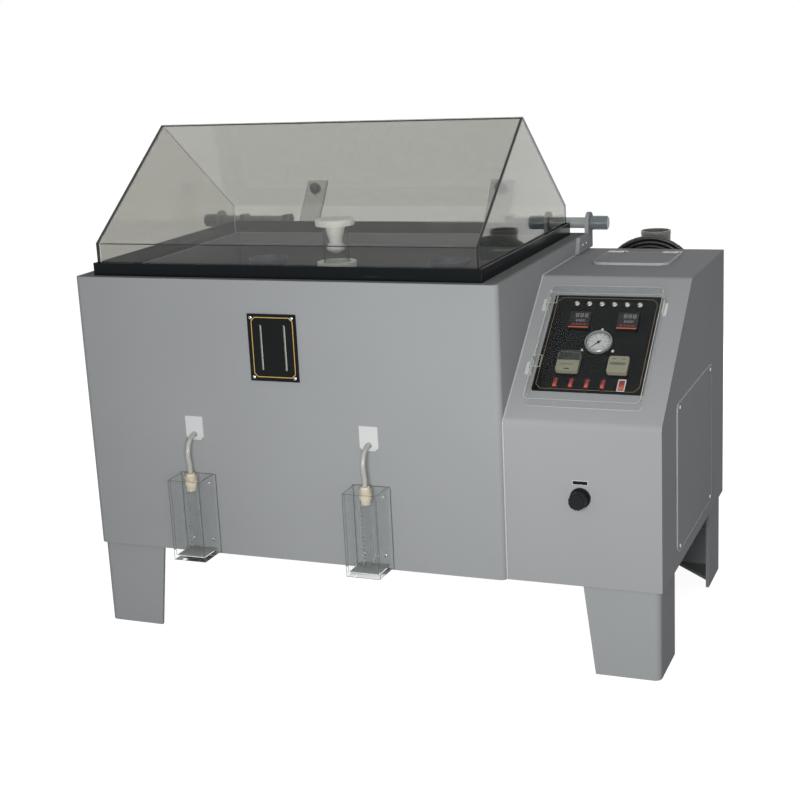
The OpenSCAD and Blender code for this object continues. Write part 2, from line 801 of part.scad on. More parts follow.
module collector_hoses() {
    seat() color([0.88, 0.9, 0.88, 0.8]) for (x = collector_xs)
        cord([[x, wall_t, hose_z()], [x, 0, hose_z()], [x, -10, hose_z()], [x - 1, -30, hose_z() - 12],
            [x - 1, cylinder_y - 3, hose_z() - 38], [x, cylinder_y, hose_z() - 68], [x, cylinder_y, stopper_z + stopper_h]],
            hose_r, 10, 4);
}

module collector_stoppers() {
    seat() color([0.9, 0.87, 0.76]) for (x = collector_xs)
        translate([x, cylinder_y, stopper_z]) rotate_extrude() polygon([[0, -12], [cylinder_r - 3, -12],
            [cylinder_r - 2, 0], [cylinder_r, 0], [cylinder_r + 1, 12], [cylinder_r - 2, 14],
            [cylinder_r - 3, stopper_h], [0, stopper_h]]);
}

module collector_cylinders() {
    seat() color([0.85, 0.9, 0.92, 0.4]) for (x = collector_xs)
        translate([x, cylinder_y, cylinder_z]) difference() {
            union() {
                cylinder(h = 6, r = cylinder_r + 8);
                cylinder(h = stopper_z - cylinder_z, r = cylinder_r);
            }
            translate([0, 0, 8]) cylinder(h = stopper_z - cylinder_z, r = cylinder_r - 2 + fit);
        }
}

// an open-topped box with a wider back plate and a thick base
module holder(x) {
    seat() color([0.8, 0.85, 0.86, 0.4]) difference() {
        union() {
            span([x - holder_back_w / 2, -holder_t, holder_z], [x + holder_back_w / 2, 0, holder_z + holder_h]);
            span([x - holder_w / 2, -holder_d, holder_z], [x + holder_w / 2, -holder_t, holder_z + holder_h]);
        }
        span([x - holder_w / 2 + holder_t, -holder_d + holder_t, holder_z + 10],
            [x + holder_w / 2 - holder_t, -holder_t, holder_z + holder_h + 1]);
    }
}

module holder_left() {
    holder(collector_xs[0]);
}

module holder_right() {
    holder(collector_xs[1]);
}

// screws: small domed heads on the faces they hold

module screw_head() {
    rotate_extrude() polygon([[0, 0], [screw_r, 0], [screw_r - 0.6, screw_h * 0.6], [screw_r - 2, screw_h], [0, screw_h]]);
}

module case_screws() {
    seat() color([0.8, 0.8, 0.8]) {
        for (x = [level_x + 9, level_x + level_w - 9], z = [level_z + 9, level_z + level_h - 9])
            translate([x, -level_t, z_body + z]) rotate([90, 0, 0]) screw_head();
        for (x = collector_xs, s = [-1, 1], z = [32, holder_h - 24])
            translate([x + s * 26, -holder_t, holder_z + z]) rotate([90, 0, 0]) screw_head();
        for (y = [access_y() + 24, access_y() + access_w - 24], z = [access_z() + 12, access_z() + access_h - 12])
            translate([con_x + console_w + access_t, y, z]) rotate([0, 90, 0]) screw_head();
        for (a = [90, 210, 330]) on_slope(gauge_u + (gauge_r + 9) * cos(a), gauge_v + (gauge_r + 9) * sin(a), panel_t) screw_head();
    }
}

function access_y() = con_y0 + 150;
function access_z() = z_body + 38;

// console

// corners of the console's side outline, smaller by d on the front, slope and top
function console_outline(d) = [[con_y0 + d, z_body - (d > 0 ? 1 : 0)],
    [con_y0 + d, z_body + front_h - d * tan((90 - slope_a) / 2)],
    [con_y0 + slope_d + d * tan(slope_a / 2), z_top - d],
    [con_y1 + (d > 0 ? 1 : 0), z_top - d], [con_y1 + (d > 0 ? 1 : 0), z_body - (d > 0 ? 1 : 0)]];

module console_section(d, r) {
    p = console_outline(d);
    polygon(concat([p[0]], soft(p[0], p[1], p[2], r), soft(p[1], p[2], p[3], r), [p[3], p[4]]));
}

module console_shell() {
    seat() color([0.55, 0.57, 0.57]) difference() {
        across(con_x + seat_gap, console_w - seat_gap) console_section(0, bend_r);
        across(con_x + shell_t, console_w - 2 * shell_t) console_section(shell_t, bend_r - shell_t);
        on_slope(panel_x + panel_lap, panel_v + panel_lap, -20) cube([panel_w - 2 * panel_lap, panel_l - 2 * panel_lap, 40]);
        translate([con_x + hatch_x + 12, con_y0 + hatch_y + 12, z_top - 20])
            round_block(hatch_w - 24, hatch_d - 24, 40, 8);
        translate([con_x + console_w + 5, access_y() + 36, access_z() + 24]) rotate([0, -90, 0])
            round_block(access_h - 48, access_w - 72, 20, 10);
        translate([con_x + reg_x, con_y0 + 20, z_body + reg_z]) rotate([90, 0, 0]) cylinder(h = 30, r = 8 + fit);
    }
}

module console_back() {
    seat() color([0.5, 0.52, 0.52]) difference() {
        span([con_x + shell_t + fit, con_y1 - shell_t, z_body + plate_t],
            [con_x + console_w - shell_t - fit, con_y1, z_top - shell_t - fit]);
        translate([coil_x, con_y1 + 1, z_body + duct_z]) rotate([90, 0, 0]) cylinder(h = 20, r = duct_r + fit);
        translate([gland_x, con_y1 + 1, gland_z]) rotate([90, 0, 0]) cylinder(h = 20, r = 9 + fit);
        for (i = [0:7]) span([con_x + vent_x, con_y1 - 20, z_body + vent_up + vent_pitch * i],
            [con_x + vent_x + vent_w, con_y1 + 1, z_body + vent_up + vent_pitch / 3 + vent_pitch * i]);
    }
}

module console_floor() {
    seat() color([0.5, 0.52, 0.52]) span([con_x + shell_t + fit, con_y0 + shell_t + fit, z_body],
        [con_x + console_w - shell_t - fit, con_y1, z_body + plate_t]);
}

module access_panel() {
    seat() color([0.55, 0.57, 0.57]) translate([con_x + console_w + access_t, access_y(), access_z()])
        rotate([0, -90, 0]) round_block(access_h, access_w, access_t, 20);
}

// hatch on the console's top

module hatch_cover() {
    seat() color([0.57, 0.59, 0.59]) {
        translate([con_x + hatch_x, con_y0 + hatch_y, z_top + seat_gap]) linear_extrude(hatch_t) {
            translate([0, 26]) square([hatch_w, hatch_d - 26]);
            translate([26, 0]) square([hatch_w - 52, hatch_d]);
            for (x = [26, hatch_w - 26]) translate([x, 26]) circle(26);
        }
        for (x = hatch_hinges()) {
            translate([x + 12.2, hatch_axis_y, hatch_axis_z]) rotate([0, 90, 0]) knuckle(15.6);
            difference() {
                union() {
                    span([x + 12.2, hatch_axis_y - 12, z_top + seat_gap + hatch_t], [x + 27.8, hatch_axis_y, z_top + seat_gap + hatch_t + 2]);
                    span([x, hatch_axis_y - 25, z_top + seat_gap + hatch_t], [x + hatch_hx, hatch_axis_y - 7, z_top + seat_gap + hatch_t + 2]);
                }
                translate([x, hatch_axis_y, hatch_axis_z]) rotate([0, 90, 0]) cylinder(h = hatch_hx, r = hinge_pin + run);
            }
        }
    }
}

function hatch_hinges() = [con_x + hatch_x + 4, con_x + hatch_x + hatch_w - 4 - hatch_hx];

// a hinge knuckle along +Z with its pin's bore
module knuckle(h) {
    difference() {
        cylinder(h = h, r = hinge_r);
        translate([0, 0, -1]) cylinder(h = h + 2, r = hinge_pin + run);
    }
}

module hinge_leaves() {
    seat() color([0.82, 0.85, 0.85, 0.6]) {
        for (x = hatch_hinges()) {
            translate([x, hatch_axis_y, hatch_axis_z]) rotate([0, 90, 0]) {
                cylinder(h = 12, r = hinge_r);
                translate([0, 0, 28]) cylinder(h = 12, r = hinge_r);
                cylinder(h = hatch_hx, r = hinge_pin);
            }
            difference() {
                span([x, hatch_axis_y - hinge_r, z_top], [x + hatch_hx, hatch_axis_y + 32, z_top + 3]);
                translate([x + 12, hatch_axis_y - 10, z_top - 1]) cube([16, 10 + hinge_r + 0.5, 5]);
            }
        }
        for (v = cover_hinges()) on_slope(hinge_x, v, hinge_off) {
            rotate([-90, 0, 0]) {
                cylinder(h = 10, r = hinge_r);
                translate([0, 0, 24]) cylinder(h = 10, r = hinge_r);
                cylinder(h = 34, r = hinge_pin);
            }
            difference() {
                translate([-leaf_w, 0, -hinge_off]) cube([leaf_w + hinge_r, 34, 2.6]);
                translate([-hinge_r - 0.5, 10, -hinge_off - 1]) cube([20, 14, 5]);
            }
        }
    }
}

function cover_hinges() = [cover_v + 87, cover_v + cover_l - 56];

// clear cover over the instruments

module panel_cover() {
    seat() color([0.85, 0.88, 0.88, 0.3]) {
        on_slope(cover_x, cover_v, seat_gap) difference() {
            round_block(cover_w, cover_l, cover_h, cover_r);
            translate([cover_t, cover_t, -1])
                round_block(cover_w - 2 * cover_t, cover_l - 2 * cover_t, cover_h - cover_t + 1, cover_r - cover_t);
        }
        for (v = cover_hinges()) on_slope(hinge_x, v, hinge_off) {
            translate([0, 10.2, 0]) rotate([-90, 0, 0]) knuckle(13.6);
            difference() {
                translate([0, 10.2, -1.2]) cube([cover_x - hinge_x, 13.6, 2.4]);
                rotate([-90, 0, 0]) cylinder(h = 40, r = hinge_pin + run);
            }
            translate([cover_x - hinge_x - 2, 0, -hinge_r])
                cube([2.5, 34, seat_gap + cover_h + leaf_t - hinge_off + hinge_r]);
            translate([cover_x - hinge_x - 2, 0, seat_gap + cover_h - hinge_off - hair]) cube([24, 34, leaf_t]);
        }
    }
}

module cover_catch() {
    seat() color([0.82, 0.85, 0.85, 0.7]) on_slope(cover_x + cover_w + seat_gap, cover_v + cover_l - 62, 0) {
        cube([9, 36, 3]);
        cube([2.5, 36, 14]);
    }
}

// instruments

module instrument_panel() {
    seat() color([0.02, 0.02, 0.02]) difference() {
        on_slope(panel_x, panel_v, 0) round_block(panel_w, panel_l, panel_t, 4);
        for (i = [0:5]) on_slope(lamp_x(i), panel_v + lamp_up, -5) cylinder(h = 20, r = 4 + fit);
        for (c = CTRL) panel_hole(c, -bezel_lap);
        for (c = TIMER) panel_hole(c, -2 * bezel_lap);
        for (s = concat(SWITCHES, [MAIN_SWITCH])) panel_hole(s, 1.5);
        on_slope(gauge_u, gauge_v, -5) cylinder(h = 20, r = 6 + fit);
    }
}

// a hole through the panel for an instrument, larger by d all round
module panel_hole(c, d) {
    on_slope(c[0] - c[2] / 2 - d, c[1] - c[3] / 2 - d, -5) cube([c[2] + 2 * d, c[3] + 2 * d, 20]);
}

function lamp_x(i) = gauge_u + (i - 2.5) * lamp_pitch;

module pilot_lamps() {
    seat() color([0.85, 0.86, 0.86]) for (i = [0:5]) on_slope(lamp_x(i), panel_v + lamp_up, panel_t) rotate_extrude()
        polygon([[0, -22], [4, -22], [4, 0], [lamp_r, 0], [lamp_r, 1.2], [lamp_r - 1.4, 3], [lamp_r - 2, 3],
            [lamp_r - 2.6, 4.6], [0, 5.4]]);
}

module controllers() {
    seat() color([0.08, 0.08, 0.08]) for (c = CTRL) on_slope(c[0] - ctrl_w / 2, c[1] - ctrl_w / 2, panel_t)
        difference() {
            union() {
                round_block(ctrl_w, ctrl_w, 6, 3);
                instrument_body([ctrl_w, ctrl_w], bezel_lap, 56);
            }
            translate([5, 12, 4.5]) cube([ctrl_w - 10, ctrl_w - 17, 5]);
        }
}

// the part of an instrument behind the panel, with its bezel's size w
module instrument_body(w, lap, depth) {
    translate([lap + fit, lap + fit, -depth]) cube([w[0] - 2 * (lap + fit), w[1] - 2 * (lap + fit), depth + 4]);
}

module panel_timers() {
    seat() color([0.85, 0.83, 0.74]) for (c = TIMER) on_slope(c[0] - c[2] / 2, c[1] - c[3] / 2, panel_t)
        difference() {
            union() {
                round_block(c[2], c[3], 10, 5);
                instrument_body([c[2], c[3]], 2 * bezel_lap, 40);
            }
            translate([8, c[3] * 0.45, 8]) cube([c[2] - 16, c[3] * 0.3, 5]);
        }
}

module pressure_gauge() {
    seat() color([0.82, 0.83, 0.84]) on_slope(gauge_u, gauge_v, panel_t) difference() {
        rotate_extrude() polygon([[1.05, -14], [6, -14], [6, 0], [gauge_r - 1, 0], [gauge_r, 2], [gauge_r, 9],
            [gauge_r - 2, 11], [gauge_r - 3, 11], [gauge_r - 3, 4], [1.05, 4]]);
        translate([0, 0, -20]) cylinder(h = 12, r = 3);
    }
}

module gauge_pointer() {
    seat() color([0.05, 0.05, 0.05]) on_slope(gauge_u, gauge_v, panel_t) rotate([0, 0, 225]) {
        translate([0, 0, -8]) cylinder(h = 13, r = 1);
        translate([0, 0, 4.5]) cylinder(h = 2, r = 3);
        translate([0, 0, 5]) linear_extrude(0.8) polygon([[-7, 1], [-7, -1], [0, -1.4], [gauge_r - 9, -0.3],
            [gauge_r - 9, 0.3], [0, 1.4]]);
    }
}

module gauge_lens() {
    seat() color([0.9, 0.93, 0.94, 0.3]) on_slope(gauge_u, gauge_v, panel_t + 7.6) cylinder(h = 2, r = gauge_r - 3 - run);
}

module switch_bodies() {
    seat() color([0.75, 0.75, 0.73]) for (s = concat(SWITCHES, [MAIN_SWITCH]))
        on_slope(s[0], s[1], panel_t) difference() {
            union() {
                translate([-s[2] / 2 - 3, -s[3] / 2 - 3, 0]) round_block(s[2] + 6, s[3] + 6, 2, 2);
                translate([-s[2] / 2 - 1.3, -s[3] / 2 - 1.3, -20]) cube([s[2] + 2.6, s[3] + 2.6, 21]);
            }
            translate([-s[2] / 2 - 0.3, -s[3] / 2 - rocker_gap, -12]) cube([s[2] + 0.6, s[3] + 2 * rocker_gap, 20]);
            translate([-s[2] / 2 - 2, 0, -4]) rotate([0, 90, 0]) cylinder(h = s[2] + 4, r = 1 + run);
        }
}

// a rocker that tilts 10 degrees at rest, with its pivot pin across
module rocker(s) {
    l = s[3] / 2 - 0.5;
    seat() color([0.75, 0.05, 0.04]) on_slope(s[0], s[1], panel_t) translate([0, 0, -4]) rotate([-10, 0, 0]) {
        rotate([90, 0, 90]) translate([0, 0, -s[2] / 2]) linear_extrude(s[2])
            polygon([[-l, 5], [-l * 0.5, -3], [l * 0.5, -3], [l, 5], [l - 0.4, 8], [0, 6.4], [-l + 0.4, 8]]);
        translate([-s[2] / 2 - 1.2, 0, 0]) rotate([0, 90, 0]) cylinder(h = s[2] + 2.4, r = 1);
    }
}

module rocker_1() { rocker(SWITCHES[0]); }
module rocker_2() { rocker(SWITCHES[1]); }
module rocker_3() { rocker(SWITCHES[2]); }
module rocker_4() { rocker(SWITCHES[3]); }
module main_rocker() { rocker(MAIN_SWITCH); }

// pressure regulator on the console's front

module regulator_body() {
    seat() color([0.1, 0.1, 0.1]) translate([con_x + reg_x, con_y0, z_body + reg_z]) rotate([90, 0, 0]) {
        cylinder(h = 5, r = 23);
        translate([0, 0, -40]) cylinder(h = 50, r = 8);
        translate([0, 0, -45]) cylinder(h = 30, r = 22);
        translate([0, 0, 5]) cylinder(h = 4, r = 15, $fn = 6);
    }
}

module regulator_knob() {
    seat() color([0.05, 0.05, 0.05]) translate([con_x + reg_x, con_y0 - 9 - seat_gap, z_body + reg_z]) rotate([90, 0, 0])
        difference() {
            rotate_extrude() polygon([[0, 0], [knob_r, 0], [knob_r, knob_len - 4], [knob_r - 3, knob_len], [0, knob_len]]);
            translate([0, 0, -1]) cylinder(h = 3, r = 8 + run);
            for (a = [0:30:330]) rotate([0, 0, a]) translate([knob_r + 1, 0, 5]) cylinder(h = knob_len, r = 2.4, $fn = 24);
        }
}

// brine reservoir under the hatch

module brine_reservoir() {
    w = hatch_w + 16;
    d = hatch_d + 18;
    h = console_h - plate_t - 64;
    seat() color([0.9, 0.91, 0.9]) translate([con_x + hatch_x - 8, con_y0 + hatch_y - 9, z_body + plate_t])
        difference() {
            round_block(w, d, h, 12);
            translate([4, 4, 4]) round_block(w - 8, d - 8, h, 8);
        }
}

// exhaust elbow, cord gland, power lead

module exhaust_elbow() {
    seat() color([0.55, 0.57, 0.57]) translate([coil_x, 0, z_body + duct_z]) {
        translate([0, con_y1 - 16, 0]) rotate([-90, 0, 0]) duct(16 + duct_run, duct_r);
        translate([0, con_y1 + duct_run, duct_bend]) rotate([90, 0, 90]) rotate([0, 0, -90]) rotate_extrude(angle = 90)
            translate([duct_bend, 0]) difference() {
                circle(duct_r);
                circle(duct_r - duct_t);
            }
        translate([0, duct_y, duct_bend]) duct(duct_stub, duct_r);
        translate([0, duct_y, duct_bend + duct_stub - 10]) duct(10, duct_r + duct_lip);
    }
}

// a round tube along +Z with the elbow's bore
module duct(h, r) {
    difference() {
        cylinder(h = h, r = r);
        translate([0, 0, -1]) cylinder(h = h + 2, r = duct_r - duct_t);
    }
}

module cord_gland() {
    seat() color([0.08, 0.08, 0.08]) translate([gland_x, con_y1, gland_z]) rotate([-90, 0, 0]) {
        translate([0, 0, -14]) cylinder(h = 14, r = 9);
        cylinder(h = 5, r = 14, $fn = 6);
        translate([0, 0, 5]) cylinder(h = gland_len - 5, r1 = 11, r2 = 8);
    }
}

module power_lead() {
    seat() color([0.04, 0.04, 0.04]) {
        cord(lead_route, cable_r, 8, 4);
        cord(tail_route, cable_r, 8, 4);
    }
}

module power_coil() {
    seat() color([0.04, 0.04, 0.04]) translate([coil_x, coil_y + coil_t / 2, coil_z]) rotate([90, 0, 0])
        rotate_extrude() translate([coil_in + seat_gap, 0]) round_rect(coil_out - coil_in - seat_gap, coil_t, 8);
}

module power_plug() {
    end = tail_route[len(tail_route) - 1];
    seat() color([0.05, 0.05, 0.05]) translate(end - [0, 0, seat_gap]) {
        translate([0, 0, -20]) cylinder(h = 20, r1 = 9, r2 = 6.5);
        translate([-17, -12, -52]) round_block(34, 24, 32, 7);
        for (x = [-9, 9]) translate([x - 1, -3, -70]) cube([2, 6, 18]);
        translate([-1, -9, -72]) cube([2, 6, 20]);
    }
}

tank_shell();
tank_floor();
tank_deck();
water_seal_trough();
chamber_liner();
leg_front_left();
leg_front_right();
leg_rear_left();
leg_rear_right();
lid_ears();
rest_arms();
rest_bumpers();
lid_canopy();
lid_end_plates();
lid_hinge_tubes();
lid_end_caps();
spray_tower_base();
spray_tower_tube();
spray_cap();
spray_nozzle();
fog_funnels();
drain_stub();
level_plate();
level_tubes();
tag_plates();
collector_hoses();
collector_stoppers();
collector_cylinders();
holder_left();
holder_right();
case_screws();
console_shell();
console_back();
console_floor();
access_panel();
hatch_cover();
hinge_leaves();
instrument_panel();
pilot_lamps();
controllers();
panel_timers();
switch_bodies();
pressure_gauge();
gauge_pointer();
gauge_lens();
rocker_1();
rocker_2();
rocker_3();
rocker_4();
main_rocker();
panel_cover();
cover_catch();
regulator_body();
regulator_knob();
brine_reservoir();
exhaust_elbow();
cord_gland();
power_lead();
power_coil();
power_plug();
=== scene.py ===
import math
import bpy
import bmesh
from mathutils import Matrix, Vector


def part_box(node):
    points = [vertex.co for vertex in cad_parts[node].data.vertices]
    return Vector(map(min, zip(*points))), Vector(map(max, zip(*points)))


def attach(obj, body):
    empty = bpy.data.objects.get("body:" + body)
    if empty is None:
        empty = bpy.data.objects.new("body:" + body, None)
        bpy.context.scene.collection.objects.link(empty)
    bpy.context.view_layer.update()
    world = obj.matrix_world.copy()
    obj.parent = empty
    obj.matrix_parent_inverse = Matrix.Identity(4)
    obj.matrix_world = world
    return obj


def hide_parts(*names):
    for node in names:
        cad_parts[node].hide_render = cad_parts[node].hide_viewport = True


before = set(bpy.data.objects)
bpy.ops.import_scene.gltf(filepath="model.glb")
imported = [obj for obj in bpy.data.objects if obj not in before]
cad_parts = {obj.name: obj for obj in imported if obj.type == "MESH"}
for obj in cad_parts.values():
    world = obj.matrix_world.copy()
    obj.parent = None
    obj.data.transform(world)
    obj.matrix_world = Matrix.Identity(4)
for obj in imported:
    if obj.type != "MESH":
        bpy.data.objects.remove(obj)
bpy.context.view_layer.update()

# Camera: it stands to the right of the chamber's front at head height and looks
# slightly down, with the picture tilted a little, as a hand-held camera would.
yaw, pitch, tilt = math.radians(22.4126), math.radians(14.312), math.radians(-2.8533)
ahead = Vector((-math.sin(yaw) * math.cos(pitch), math.cos(yaw) * math.cos(pitch), -math.sin(pitch)))
level_side = Vector((math.cos(yaw), math.sin(yaw), 0))
level_up = level_side.cross(ahead)
to_right = math.cos(tilt) * level_side + math.sin(tilt) * level_up
to_top = math.cos(tilt) * level_up - math.sin(tilt) * level_side
camera = bpy.data.objects.new("camera", bpy.data.cameras.new("camera"))
camera.data.lens = 66.98
camera.data.sensor_width = 36
camera_place = Vector((1.36985, -3.37265, 1.4333))
camera_turn = Matrix((to_right, to_top, -ahead)).transposed()
camera.matrix_world = Matrix.LocRotScale(camera_place, camera_turn, None)
bpy.context.collection.objects.link(camera)
bpy.context.scene.camera = camera
bpy.context.scene.view_settings.view_transform = "Standard"


# Power cable: 10 mm black mains lead in a rubber sheath, out of a gland in the console's
# back, wound five and a half turns and hung over the exhaust pipe, with its plug hanging
# down. A strip of hook tape holds the turns together.
def place(x, y, z):
    """A point given in millimetres from the tank's front left corner on the floor."""
    return Vector((x - 679.85, y - 404.15, z)) / 1000


def node_in(tree, kind, inputs=(), **settings):
    """A new node with its settings, and its inputs linked or set."""
    node = tree.nodes.new(kind)
    for key, value in settings.items():
        setattr(node, key, value)
    for key, value in dict(inputs).items():
        if isinstance(value, bpy.types.NodeSocket):
            tree.links.new(value, node.inputs[key])
        else:
            node.inputs[key].default_value = value
    return node


def effect(name, inputs, outputs):
    """An empty shader node group with named inputs and outputs."""
    group = bpy.data.node_groups.new(name, "ShaderNodeTree")
    kinds = {"c": "NodeSocketColor", "f": "NodeSocketFloat"}
    for label in inputs:
        group.interface.new_socket(name=label[2:], in_out="INPUT", socket_type=kinds[label[0]])
    for label in outputs:
        group.interface.new_socket(name=label[2:], in_out="OUTPUT", socket_type=kinds[label[0]])
    return group, group.nodes.new("NodeGroupInput").outputs, group.nodes.new("NodeGroupOutput").inputs


def sheet_skin():
    """The face of a plastic or painted part: cloudy tone, fine grain and faint hair scratches."""
    group, given, out = effect("sheet_skin", ["c:Colour", "c:Shade", "f:Mottle", "f:Grain", "f:Gloss"],
                               ["c:Colour", "f:Roughness", "f:Height"])
    here = node_in(group, "ShaderNodeTexCoord").outputs["Object"]
    cloud = node_in(group, "ShaderNodeTexNoise",
                    {"Vector": here, "Scale": 2.4, "Detail": 3}).outputs["Fac"]
    fine = node_in(group, "ShaderNodeTexNoise",
                   {"Vector": here, "Scale": given["Grain"], "Detail": 2}).outputs["Fac"]
    combed = node_in(group, "ShaderNodeMapping",
                     {"Vector": here, "Rotation": (0.5, 0.3, 0.2), "Scale": (6, 9, 420)})
    hair = node_in(group, "ShaderNodeTexNoise",
                   {"Vector": combed.outputs[0], "Scale": 1, "Detail": 4}).outputs["Fac"]
    hair = node_in(group, "ShaderNodeMapRange", {"Value": hair, "From Min": 0.68, "From Max": 0.8}).outputs[0]
    dim = node_in(group, "ShaderNodeMath", {0: cloud, 1: given["Mottle"]}, operation="MULTIPLY").outputs[0]
    tone = node_in(group, "ShaderNodeMix", {0: dim, 6: given["Colour"], 7: given["Shade"]}, data_type="RGBA")
    speck = node_in(group, "ShaderNodeMapRange", {"Value": fine, "To Min": 0.95, "To Max": 1.05}).outputs[0]
    tone = node_in(group, "ShaderNodeMix", {0: 1, 6: tone.outputs[2], 7: speck},
                   data_type="RGBA", blend_type="MULTIPLY")
    light = node_in(group, "ShaderNodeMath", {0: hair, 1: 0.05}, operation="MULTIPLY").outputs[0]
    tone = node_in(group, "ShaderNodeMix", {0: light, 6: tone.outputs[2], 7: (1, 1, 1, 1)},
                   data_type="RGBA")
    rough = node_in(group, "ShaderNodeMapRange", {"Value": cloud, "From Min": 0.3, "From Max": 0.7,
                                                  "To Min": -0.05, "To Max": 0.05}).outputs[0]
    rough = node_in(group, "ShaderNodeMath", {0: rough, 1: given["Gloss"]}, operation="ADD").outputs[0]
    rough = node_in(group, "ShaderNodeMath", {0: light, 1: rough}, operation="ADD").outputs[0]
    group.links.new(tone.outputs[2], out["Colour"])
    group.links.new(rough, out["Roughness"])
    group.links.new(fine, out["Height"])
    return group


skin = sheet_skin()


def finish(name, colour, rough=0.4, mottle=0.5, grain=700, shade=0.8, bump=0.05, **values):
    """A solid material whose colour, roughness and relief come from the sheet_skin effect."""
    material = bpy.data.materials.new(name)
    material.use_nodes = True
    tree = material.node_tree
    shader = tree.nodes["Principled BSDF"]
    face = node_in(tree, "ShaderNodeGroup", node_tree=skin)
    face.inputs["Colour"].default_value = (*colour, 1)
    face.inputs["Shade"].default_value = (*[shade * c for c in colour], 1)
    face.inputs["Mottle"].default_value = mottle
    face.inputs["Grain"].default_value = grain
    face.inputs["Gloss"].default_value = rough
    relief = node_in(tree, "ShaderNodeBump",
                     {"Height": face.outputs["Height"], "Strength": bump, "Distance": 0.001})
    tree.links.new(face.outputs["Colour"], shader.inputs["Base Color"])
    tree.links.new(face.outputs["Roughness"], shader.inputs["Roughness"])
    tree.links.new(relief.outputs[0], shader.inputs["Normal"])
    for key, value in values.items():
        shader.inputs[key.replace("_", " ")].default_value = value
    return material


def route(points, steps=6):
    """Points of a smooth curve through the given ones."""
    line = []
    for i in range(len(points) - 1):
        a, b, c = points[max(i - 1, 0)], points[i], points[i + 1]
        d = points[min(i + 2, len(points) - 1)]
        for k in range(steps):
            t = k / steps
            line.append(0.5 * (2 * b + (c - a) * t + (2 * a - 5 * b + 4 * c - d) * t * t
                               + (3 * b - a - 3 * c + d) * t ** 3))
    return line + [points[-1]]


def tube_along(name, line, radius, material):
    """A round cord along a line of points, as one open curve."""
    curve = bpy.data.curves.new(name, "CURVE")
    curve.dimensions = "3D"
    curve.bevel_depth = radius
    curve.bevel_resolution = 4
    curve.use_fill_caps = True
    spline = curve.splines.new("POLY")
    spline.points.add(len(line) - 1)
    for point, at in zip(spline.points, line):
        point.co = (*at, 1)
    spline.use_smooth = True
    curve.materials.append(material)
    thing = bpy.data.objects.new(name, curve)
    bpy.context.collection.objects.link(thing)
    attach(thing, "cabinet")
    return thing


sheath = finish("cable_sheath", (0.016, 0.016, 0.017), 0.32, 0.8, 260, 0.6, 0.25)
hub = (1218, 739.5)
back_layer, front_layer = 785.5, 774.5
outer_radius, inner_radius, pitch = 125.9, 99.9, 10.4


def on_coil(turn, radius, y):
    """A point of the winding: turn 0 is its left side, and it runs up and over the top."""
    return place(hub[0] - radius * math.cos(2 * math.pi * turn), y,
                 hub[1] + radius * math.sin(2 * math.pi * turn))


# Forty points make one turn: the back layer winds inwards, half a turn crosses to the
# front layer, and that winds outwards again.
winding = [on_coil(i / 40, outer_radius - pitch * i / 40, back_layer) for i in range(100)]
for i in range(20):
    ease = (1 - math.cos(math.pi * i / 20)) / 2
    dip = 2.4 * math.sin(math.pi * i / 20)
    winding.append(on_coil(2.5 + i / 40, inner_radius - dip, back_layer + (front_layer - back_layer) * ease))
winding += [on_coil(i / 40, inner_radius + pitch * i / 40, front_layer) for i in range(101)]


def block(bm, low, high, soft=0, seat=None):
    """A block between two corners, with soft edges, in the frame of its seat."""
    made = bmesh.ops.create_cube(bm, size=1)["verts"]
    bmesh.ops.scale(bm, vec=Vector(high) - Vector(low), verts=made)
    bmesh.ops.translate(bm, vec=(Vector(high) + Vector(low)) / 2, verts=made)
    if seat is not None:
        bmesh.ops.transform(bm, matrix=seat, verts=made)
    if soft:
        edges = list({edge for corner in made for edge in corner.link_edges})
        bmesh.ops.bevel(bm, geom=made + edges, offset=soft, offset_type="OFFSET", segments=3,
                        profile=0.5, affect="EDGES", material=-1, clamp_overlap=True)


def turned(bm, profile, seat, steps=32, angle=360, closed=False):
    """A turned shape from its profile of radius and height, in the frame of its seat."""
    before = set(bm.verts)
    corners = [bm.verts.new((r, 0, h)) for r, h in profile]
    edges = [bm.edges.new(pair) for pair in zip(corners, corners[1:])]
    if closed:
        edges.append(bm.edges.new((corners[-1], corners[0])))
    bmesh.ops.spin(bm, geom=corners + edges, cent=(0, 0, 0), axis=(0, 0, 1), dvec=(0, 0, 0),
                   angle=math.radians(angle), steps=steps, use_merge=angle == 360, use_duplicate=False)
    made = [corner for corner in bm.verts if corner not in before]
    bmesh.ops.remove_doubles(bm, verts=made, dist=0.0001)
    made = [corner for corner in bm.verts if corner not in before]
    bmesh.ops.transform(bm, matrix=seat, verts=made)


def outline(bm, corners, width, low, high):
    """A flat frame inside a closed line of corners."""
    face = bm.faces.new([bm.verts.new((x, y, low)) for x, y in corners])
    face.normal_update()
    rim = bmesh.ops.inset_region(bm, faces=[face], thickness=width, use_boundary=True,
                                 use_even_offset=True)["faces"]
    bmesh.ops.delete(bm, geom=[face], context="FACES")
    raised = bmesh.ops.extrude_face_region(bm, geom=rim)["geom"]
    corners = [part for part in raised if isinstance(part, bmesh.types.BMVert)]
    bmesh.ops.translate(bm, vec=(0, 0, high - low), verts=corners)


def keep(bm, name, material, frame_of, body="cabinet", angle=35):
    """Turns a finished bmesh into a piece that rides on a body."""
    bm.transform(frame_of)
    bmesh.ops.recalc_face_normals(bm, faces=bm.faces[:])
    mesh = bpy.data.meshes.new(name)
    bm.to_mesh(mesh)
    bm.free()
    mesh.shade_smooth()
    mesh.set_sharp_from_angle(angle=math.radians(angle))
    mesh.materials.append(material)
    thing = bpy.data.objects.new(name, mesh)
    bpy.context.collection.objects.link(thing)
    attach(thing, body)
    return thing


millimetres = Matrix.Translation(place(0, 0, 0)) @ Matrix.Scale(0.001, 4)
plug_low, plug_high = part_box("power_plug")
plug_top = Vector(((plug_low[0] + plug_high[0]) / 2, (plug_low[1] + plug_high[1]) / 2,
                   plug_high[2] - 0.002))

